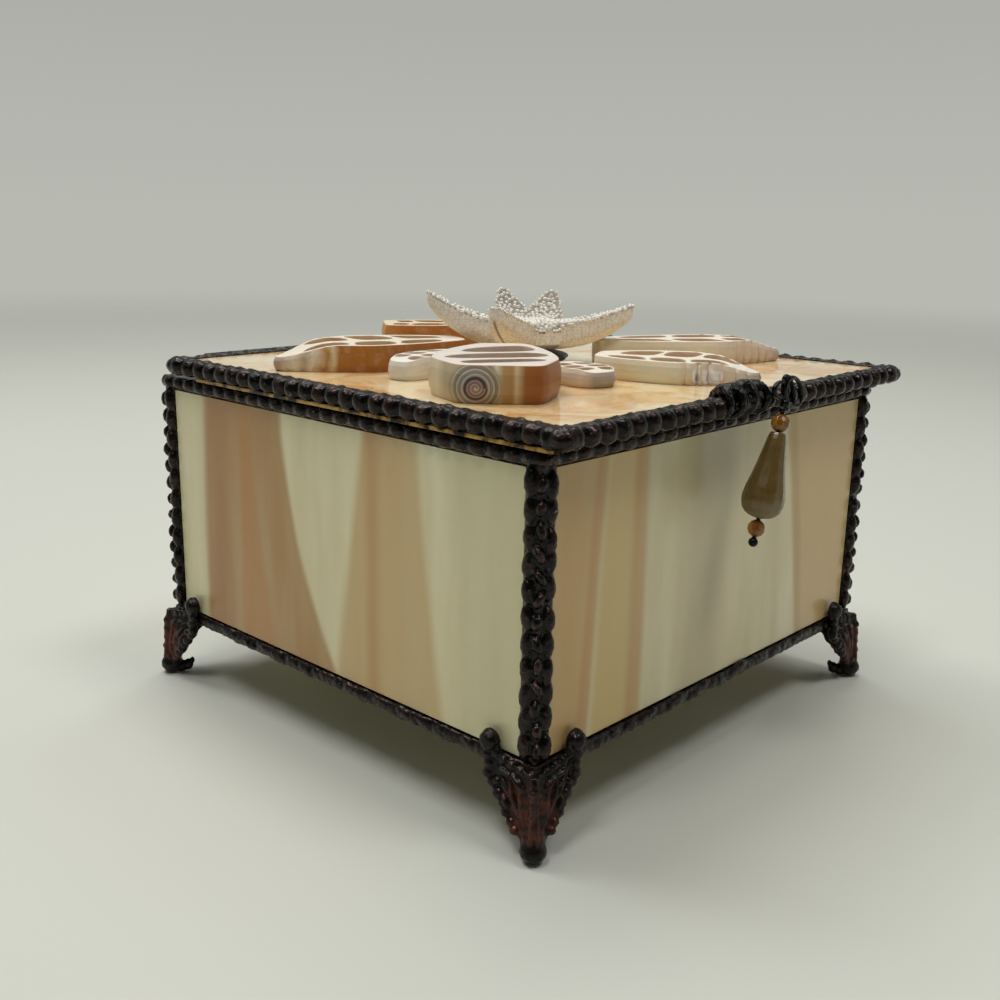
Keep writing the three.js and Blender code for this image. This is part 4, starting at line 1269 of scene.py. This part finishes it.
star_shape = bmesh.new()
bmesh.ops.create_uvsphere(star_shape, u_segments=240, v_segments=90, radius=1)
for vert in star_shape.verts:
    # A blunt profile: the sphere's edge is squared a little, so that arms keep thick, round ends.
    flat = math.hypot(vert.co.x, vert.co.y)
    vert.co /= (flat ** BLUNT + abs(vert.co.z) ** BLUNT) ** (1 / BLUNT)
    radius = math.hypot(vert.co.x, vert.co.y)
    angle = math.atan2(vert.co.y, vert.co.x)
    long, rise, _ = star_at(angle)
    out = radius * long
    climb = max(0.0, out - FLAT) / (long - FLAT)
    lift = rise * REACH * climb ** CURL + vert.co.z * THICK * (1 - TAPER * out) / 2
    vert.co = STAR + Vector((math.cos(angle) * out * REACH, math.sin(angle) * out * REACH, lift)) * MM
star_shape.normal_update()
star_low, star_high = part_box("starfish")
print("starfish body of", len(star_shape.verts), "corners, drawn for the node from", star_low, "to", star_high)

# %% [markdown]
# ### Its spines
# The top is covered with blunt spines like grains of sand. Each is a small sphere on a corner of the
# body whose surface faces upwards. The corners are shuffled, and one is taken only where no spine
# stands close by, which spreads them evenly without a pattern.

# %% Its spines
SPINE_SEED = 11
SPINE_GAP, SPINE_RISE, SPINE_SMALL, SPINE_LARGE = 0.92 * MM, 0.16 * MM, 0.38, 0.54

spread = random.Random(SPINE_SEED)
candidates = [(v.co.copy(), v.normal.copy()) for v in star_shape.verts if v.normal.z > 0.25]
spread.shuffle(candidates)
spines = []
for point, normal in candidates:
    if all((point - other).length > SPINE_GAP for other, _ in spines):
        spines.append((point, normal))
for point, normal in spines:
    size = spread.uniform(SPINE_SMALL, SPINE_LARGE) * MM
    spot = Matrix.Translation(point + normal * SPINE_RISE)
    bmesh.ops.create_icosphere(star_shape, subdivisions=1, radius=size, matrix=spot)
print(len(spines), "spines")

# %% [markdown]
# ### Dried starfish
# A dried starfish is chalk-like plates in a thin skin: matt and nearly white. Painted shade greys the pits
# between its spines, and a dark line runs along the underside of each arm. The shaded pits and the lines
# follow the shape, so how deep each point lies in them is worked out once and kept on the mesh.

# %% Dried starfish
dry_star, tree, shader = new_material(
    "dried_starfish", Roughness=0.82, IOR=1.5, Subsurface_Weight=0.08, Subsurface_Scale=0.001,
)
pit_shade = add_node(tree, "ShaderNodeAttribute", attribute_name="pit_shade")
groove = add_node(tree, "ShaderNodeAttribute", attribute_name="groove")
place = add_node(tree, "ShaderNodeTexCoord")
chalk = add_node(
    tree, "ShaderNodeTexNoise",
    {"Vector": place.outputs["Object"], "Scale": 1 / (2.2 * MM), "Detail": 5.0, "Roughness": 0.65},
)
tone = add_node(
    tree, "ShaderNodeMix", {0: chalk.outputs["Fac"], 6: colour("#F0E9DA"), 7: colour("#FBF8F1")}, data_type="RGBA",
)
# Small plates, 0.7 mm across, cover the arms' sides, with slightly darker skin between them.
plates = add_node(
    tree, "ShaderNodeTexVoronoi", {"Vector": place.outputs["Object"], "Scale": 1 / (0.7 * MM), "Randomness": 0.6},
)
skin = add_node(
    tree, "ShaderNodeMapRange", {"Value": plates.outputs["Distance"], "From Min": 0.38, "From Max": 0.7, "To Max": 0.4},
)
plated = add_node(
    tree, "ShaderNodeMix", {0: skin.outputs[0], 6: tone.outputs[2], 7: colour("#BDB4A4")}, data_type="RGBA",
)
# Painted shade: the pits between the spines are greyed.
pit_shaded = add_node(
    tree, "ShaderNodeMix", {0: pit_shade.outputs["Fac"], 6: plated.outputs[2], 7: colour("#837B6E")}, data_type="RGBA",
)
lined = add_node(
    tree, "ShaderNodeMix", {0: groove.outputs["Fac"], 6: pit_shaded.outputs[2], 7: colour("#6F675C")}, data_type="RGBA",
)
tree.links.new(lined.outputs[2], shader.inputs["Base Color"])
bump = add_node(
    tree, "ShaderNodeBump", {"Height": plates.outputs["Distance"], "Strength": 0.35, "Distance": 0.2 * MM},
    invert=True,
)
tree.links.new(bump.outputs["Normal"], shader.inputs["Normal"])
star = piece_from(star_shape, "dried_starfish", "lid", "starfish", dry_star, "starfish")
fuse(star, 0.2, rounds=1)

spine_map = KDTree(len(spines))
for i, (point, normal) in enumerate(spines):
    spine_map.insert(point + normal * SPINE_RISE, i)
spine_map.balance()
pit_shades, grooves = [], []
for vertex in star.data.vertices:
    # Painted shade in the pits: upward-facing points away from every spine get grey.
    far = spine_map.find(vertex.co)[2] / MM
    facing = smooth_step(vertex.normal.z, 0.05, 0.45)
    pit_shades.append(facing * smooth_step(far, 0.37, 0.54) * 0.9)
    aside = vertex.co - STAR
    distance = math.hypot(aside.x, aside.y) / MM
    off = star_at(math.atan2(aside.y, aside.x))[2] * distance
    under = 1 - smooth_step(vertex.normal.z, -0.5, -0.2)
    beyond = smooth_step(distance, 4, 8)
    grooves.append(under * beyond * (1 - smooth_step(off, 0.15, 0.55)) * 0.8)
keep_values(star, "pit_shade", pit_shades)
keep_values(star, "groove", grooves)
print(sum(deep > 0.1 for deep in pit_shades), "points in pits and", sum(deep > 0.1 for deep in grooves), "in grooves")

# %% [markdown]
# ## The glue pad
# The starfish sits on a pad of dark glue. It is a flattened ball whose rim ran unevenly over the glass.

# %% The glue pad
PAD_RADIUS, PAD_HALF_HEIGHT = 10.2 * MM, 1.7 * MM

pad_low, pad_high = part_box("starfish_pad")
pad_middle = (pad_low + pad_high) / 2
pad_shape = bmesh.new()
squat = Matrix.Diagonal((PAD_RADIUS, PAD_RADIUS, PAD_HALF_HEIGHT, 1))
bmesh.ops.create_uvsphere(
    pad_shape, u_segments=72, v_segments=20, radius=1, matrix=Matrix.Translation(pad_middle) @ squat,
)
for vert in pad_shape.verts:
    angle = math.atan2(vert.co.y - pad_middle.y, vert.co.x - pad_middle.x)
    ran = 1 + 0.05 * math.sin(3 * angle + 0.6) + 0.03 * math.sin(7 * angle)
    vert.co.x = pad_middle.x + (vert.co.x - pad_middle.x) * ran
    vert.co.y = pad_middle.y + (vert.co.y - pad_middle.y) * ran
    vert.co.z = max(vert.co.z, (LID_TOP + ON_THE_GLASS) * MM)
glue, tree, shader = new_material("dark_glue", Roughness=0.4, IOR=1.5)
place = add_node(tree, "ShaderNodeTexCoord")
skin = add_node(
    tree, "ShaderNodeTexNoise", {"Vector": place.outputs["Object"], "Scale": 1 / (2 * MM), "Detail": 4.0},
)
tone = add_node(
    tree, "ShaderNodeMix", {0: skin.outputs["Fac"], 6: colour("#0D0B0A"), 7: colour("#2C2219")}, data_type="RGBA",
)
tree.links.new(tone.outputs[2], shader.inputs["Base Color"])
bump = add_node(tree, "ShaderNodeBump", {"Height": skin.outputs["Fac"], "Strength": 0.5, "Distance": 0.3 * MM})
tree.links.new(bump.outputs["Normal"], shader.inputs["Normal"])
report(piece_from(pad_shape, "glue_pad", "lid", "pad", glue, "starfish_pad"))

# %% [markdown]
# ## The beaded pull
# A thick black wire is wound round the front banding, makes a loop and carries a pin with an amber
# glass bead, a long faceted drop and another amber bead. Loops and pin are rings and rods, fused at the
# knot. They are drawn hanging straight down, and one matrix leans them and puts them in their place.

# %% The beaded pull
PULL_X, LEAN = 3.0, math.radians(17)
PULL_Y = LID_FRONT - 0.6 - 0.85 - 1.1
# Along the pin, from the loop's middle down: the beads' tops and lengths, the gaps and the ball.
BEAD_GAP, TOP_BEAD, DROP, LOW_BEAD, BALL = 0.3, 3.67, 18.4, 3.45, 1.05
TOP_BEAD_AT = -2.7
DROP_AT = TOP_BEAD_AT - TOP_BEAD - BEAD_GAP
LOW_BEAD_AT = DROP_AT - DROP - BEAD_GAP
PIN_FOOT = LOW_BEAD_AT - LOW_BEAD - BEAD_GAP - BALL
PIN_RADIUS, LOOP_WIRE = 0.45, 0.6
# Each loop is its place beside, behind and above the pin, its lean, radius and squash.
LOOPS = [(2.3, 0.0, 2.5, 0.3, 3.9, 0.72), (0.9, 0.35, 2.3, 0.8, 3.6, 0.5), (-2.3, 0.35, 2.0, -0.15, 2.7, 0.62)]
KNOT = [(0.0, -0.4, 1.1), (0.5, -1.3, 0.95), (-0.4, -1.9, 0.8)]

metres = Matrix.Diagonal((MM, MM, MM, 1))
hang = Matrix.Translation(at(PULL_X, PULL_Y, BAND_MIDDLE)) @ Matrix.Rotation(LEAN, 4, "Y") @ metres


def add_ring(shape, matrix, radius, wire, squash, steps=40):
    """A ring of round wire: a small circle spun round the ring's axis, then squashed and placed."""
    upended = Matrix.Translation((radius, 0, 0)) @ Matrix.Rotation(math.pi / 2, 4, "X")
    circle = bmesh.ops.create_circle(shape, segments=12, radius=wire, matrix=upended)["verts"]
    edges = list({e for v in circle for e in v.link_edges})
    bmesh.ops.spin(
        shape, geom=circle + edges, cent=(0, 0, 0), axis=(0, 0, 1), angle=2 * math.pi, steps=steps, use_merge=True,
    )
    part, todo = set(circle), list(circle)
    while todo:
        for edge in todo.pop().link_edges:
            for vert in edge.verts:
                if vert not in part:
                    part.add(vert)
                    todo.append(vert)
    bmesh.ops.scale(shape, vec=(1, squash, 1), verts=list(part))
    bmesh.ops.transform(shape, matrix=matrix, verts=list(part))


def add_rod(shape, start, end, radius, matrix):
    """A round rod between two points, then placed."""
    start, end = Vector(start), Vector(end)
    turn = (end - start).to_track_quat("Z", "Y").to_matrix().to_4x4()
    bmesh.ops.create_cone(
        shape, cap_ends=True, segments=16, radius1=radius, radius2=radius, depth=(end - start).length,
        matrix=matrix @ Matrix.Translation((start + end) / 2) @ turn,
    )


wire_shape = bmesh.new()
upright = Matrix.Rotation(math.pi / 2, 4, "X")
for x, y, z, lean, radius, squash in LOOPS:
    place = Matrix.Translation((x, y, z)) @ Matrix.Rotation(lean, 4, "Y") @ upright
    add_ring(wire_shape, hang @ place, radius, LOOP_WIRE, squash)
add_rod(wire_shape, (0, 0, 0.6), (0, 0, PIN_FOOT), PIN_RADIUS, hang)
bmesh.ops.create_icosphere(
    wire_shape, subdivisions=3, radius=BALL, matrix=hang @ Matrix.Translation((0, 0, PIN_FOOT)),
)
for x, z, size in KNOT:
    bmesh.ops.create_icosphere(wire_shape, subdivisions=2, radius=size, matrix=hang @ Matrix.Translation((x, 0, z)))
wire_metal = patina_metal("black_wire", "#060505", "#1E1918", 0.1, 0.85)[0]
wire = piece_from(wire_shape, "pull_loop_and_pin", "lid", "wire", wire_metal, "pull_wire")
fuse(wire, 0.16, rounds=1)

# %% [markdown]
# ### The winding
# Left of the loop the wire is wound six times round the banding, no turn quite like the next, and
# drowned in solder here and there. The turns are rings that lean to and fro, with lumps between them.

# %% The winding
WIND_WIRE = 0.75
# Each turn is its place along the banding, from the pin, and its lean in degrees.
TURNS = [(-17.0, -24), (-15.2, 10), (-12.6, -12), (-10.9, 20), (-7.9, -18), (-5.6, 14)]
WIND_Y = LID_FRONT + 2.1
# Each lump of solder is its place, its half lengths and its lean.
DROWNED = [(-14, WIND_Y, 85.6, (4.2, 2.0, 1.5), 0.12), (-9.5, WIND_Y - 0.3, 85.7, (3.4, 2.3, 1.9), -0.15),
           (-6.0, WIND_Y - 0.2, 85.2, (2.6, 2.0, 1.4), 0.2), (-11.5, LID_FRONT - 0.3, 83.0, (4.8, 0.8, 1.6), 0.1)]

winding_shape = bmesh.new()
wrap = Matrix.Rotation(math.pi / 2, 4, "Y")
for i, (x, degrees) in enumerate(TURNS):
    lean = Matrix.Rotation(math.radians(degrees), 4, "Z")
    centre = Matrix.Translation(at(x + PULL_X, WIND_Y, BAND_MIDDLE + 1.1)) @ lean @ wrap
    add_ring(winding_shape, centre @ metres, 2.7 + 0.3 * (i % 2), WIND_WIRE, squash=1.1, steps=28)
for x, y, z, size, lean in DROWNED:
    add_lump(winding_shape, at(PULL_X + x, y, z), ALONG, OUT, size, lean)
winding = piece_from(winding_shape, "wound_wire", "lid", "wire", wire_metal, "pull_winding")
fuse(winding, 0.2, rounds=1, lumps=0.45, lump_size=1.1)

# %% [markdown]
# ### Glass beads
# The beads are coloured glass: amber round ones and a smoky olive drop, which is matt at its end. Light
# passes through them, so transmission and a tint do most of the work. A haze of tiny bubbles is a noise
# that moves the tint and the roughness a little.

# %% Glass beads
FROST_START, FROST_END = 63.5 * MM, 59.5 * MM


def bead_glass(name, tint, rough, clear):
    """Tinted glass, a little cloudy."""
    material, tree, shader = new_material(
        name, IOR=1.5, Transmission_Weight=clear, Coat_Weight=0.2, Coat_Roughness=0.05,
    )
    place = add_node(tree, "ShaderNodeTexCoord")
    haze = add_node(
        tree, "ShaderNodeTexNoise", {"Vector": place.outputs["Object"], "Scale": 1 / (3 * MM), "Detail": 4.0},
    )
    tone = add_node(
        tree, "ShaderNodeMix", {0: haze.outputs["Fac"], 6: colour(tint[0]), 7: colour(tint[1])}, data_type="RGBA",
    )
    tree.links.new(tone.outputs[2], shader.inputs["Base Color"])
    dull = add_node(
        tree, "ShaderNodeMapRange",
        {"Value": haze.outputs["Fac"], "From Min": 0.3, "From Max": 0.7, "To Min": rough, "To Max": rough + 0.15},
    )
    tree.links.new(dull.outputs[0], shader.inputs["Roughness"])
    return material, tree, shader


amber_glass = bead_glass("amber_glass", ("#8A5212", "#C98E34"), 0.05, 0.6)[0]
smoky_glass, tree, shader = bead_glass("smoky_olive_glass", ("#5C451C", "#846B36"), 0.2, 0.3)
# The drop's end is frosted, so it is paler and duller.
place = add_node(tree, "ShaderNodeTexCoord")
parts = add_node(tree, "ShaderNodeSeparateXYZ", {0: place.outputs["Object"]})
low_end = add_node(
    tree, "ShaderNodeMapRange",
    {"Value": parts.outputs["Z"], "From Min": FROST_START, "From Max": FROST_END, "To Max": 0.55},
)
clear_tone = shader.inputs["Base Color"].links[0].from_socket
frosted = add_node(
    tree, "ShaderNodeMix", {0: low_end.outputs[0], 6: clear_tone, 7: colour("#A99C7C")}, data_type="RGBA",
)
tree.links.new(frosted.outputs[2], shader.inputs["Base Color"])
dull_tone = shader.inputs["Roughness"].links[0].from_socket
frost = add_node(tree, "ShaderNodeMath", {0: dull_tone, 1: low_end.outputs[0]}, operation="ADD")
tree.links.new(frost.outputs[0], shader.inputs["Roughness"])
print("bead glass ready")

# %% [markdown]
# ### Spun and ground beads
# Each bead is half an outline spun round the pin in twelve steps. So few steps leave flat faces, as
# grinding does, and flat shading and a hair-fine bevel keep them crisp. The hole is part of the outline.

# %% Spun and ground beads
FACES = 12
HOLE = 0.55


def add_spun_bead(name, outline, top, material, slot, node):
    """A faceted bead on the pin: a half outline spun in few steps, from its top down."""
    shape = bmesh.new()
    points = [shape.verts.new((radius, 0, top - depth)) for radius, depth in outline]
    edges = [shape.edges.new((a, b)) for a, b in zip(points, points[1:] + points[:1])]
    bmesh.ops.spin(
        shape, geom=points + edges, cent=(0, 0, 0), axis=(0, 0, 1), angle=2 * math.pi, steps=FACES, use_merge=True,
    )
    bmesh.ops.recalc_face_normals(shape, faces=shape.faces)
    ground = [e for e in shape.edges if len(e.link_faces) == 2 and e.calc_face_angle() > math.radians(12)]
    bmesh.ops.bevel(shape, geom=ground, offset=0.06, segments=1, profile=0.5, material=-1, affect="EDGES")
    bmesh.ops.transform(shape, matrix=hang, verts=shape.verts)
    report(piece_from(shape, name, "lid", slot, material, node, smooth=False))


def round_outline(radius, steps=5):
    """Half outline of a round bead with a hole for the pin."""
    start = math.asin(HOLE / radius)
    angles = [start + (math.pi - 2 * start) * i / steps for i in range(steps + 1)]
    return [(radius * math.sin(a), radius * math.cos(start) - radius * math.cos(a)) for a in angles]


half = DROP / 2
drop_outline = [(HOLE, 0), (1.55, 0), (1.75, 0.5), (2.02, half * 0.15), (2.9, half * 0.7), (3.6, half * 1.05),
                (4.2, half * 1.3), (4.5, half * 1.5), (4.42, half * 1.64), (4.0, half * 1.8), (3.2, half * 1.9),
                (2.2, half * 1.96), (HOLE, half * 2)]
add_spun_bead("amber_bead_top", round_outline(2.0), TOP_BEAD_AT, amber_glass, "amber", "pull_bead_top")
add_spun_bead("faceted_drop", drop_outline, DROP_AT, smoky_glass, "smoky", "pull_drop")
add_spun_bead("amber_bead_low", round_outline(1.9), LOW_BEAD_AT, amber_glass, "amber", "pull_bead_low")
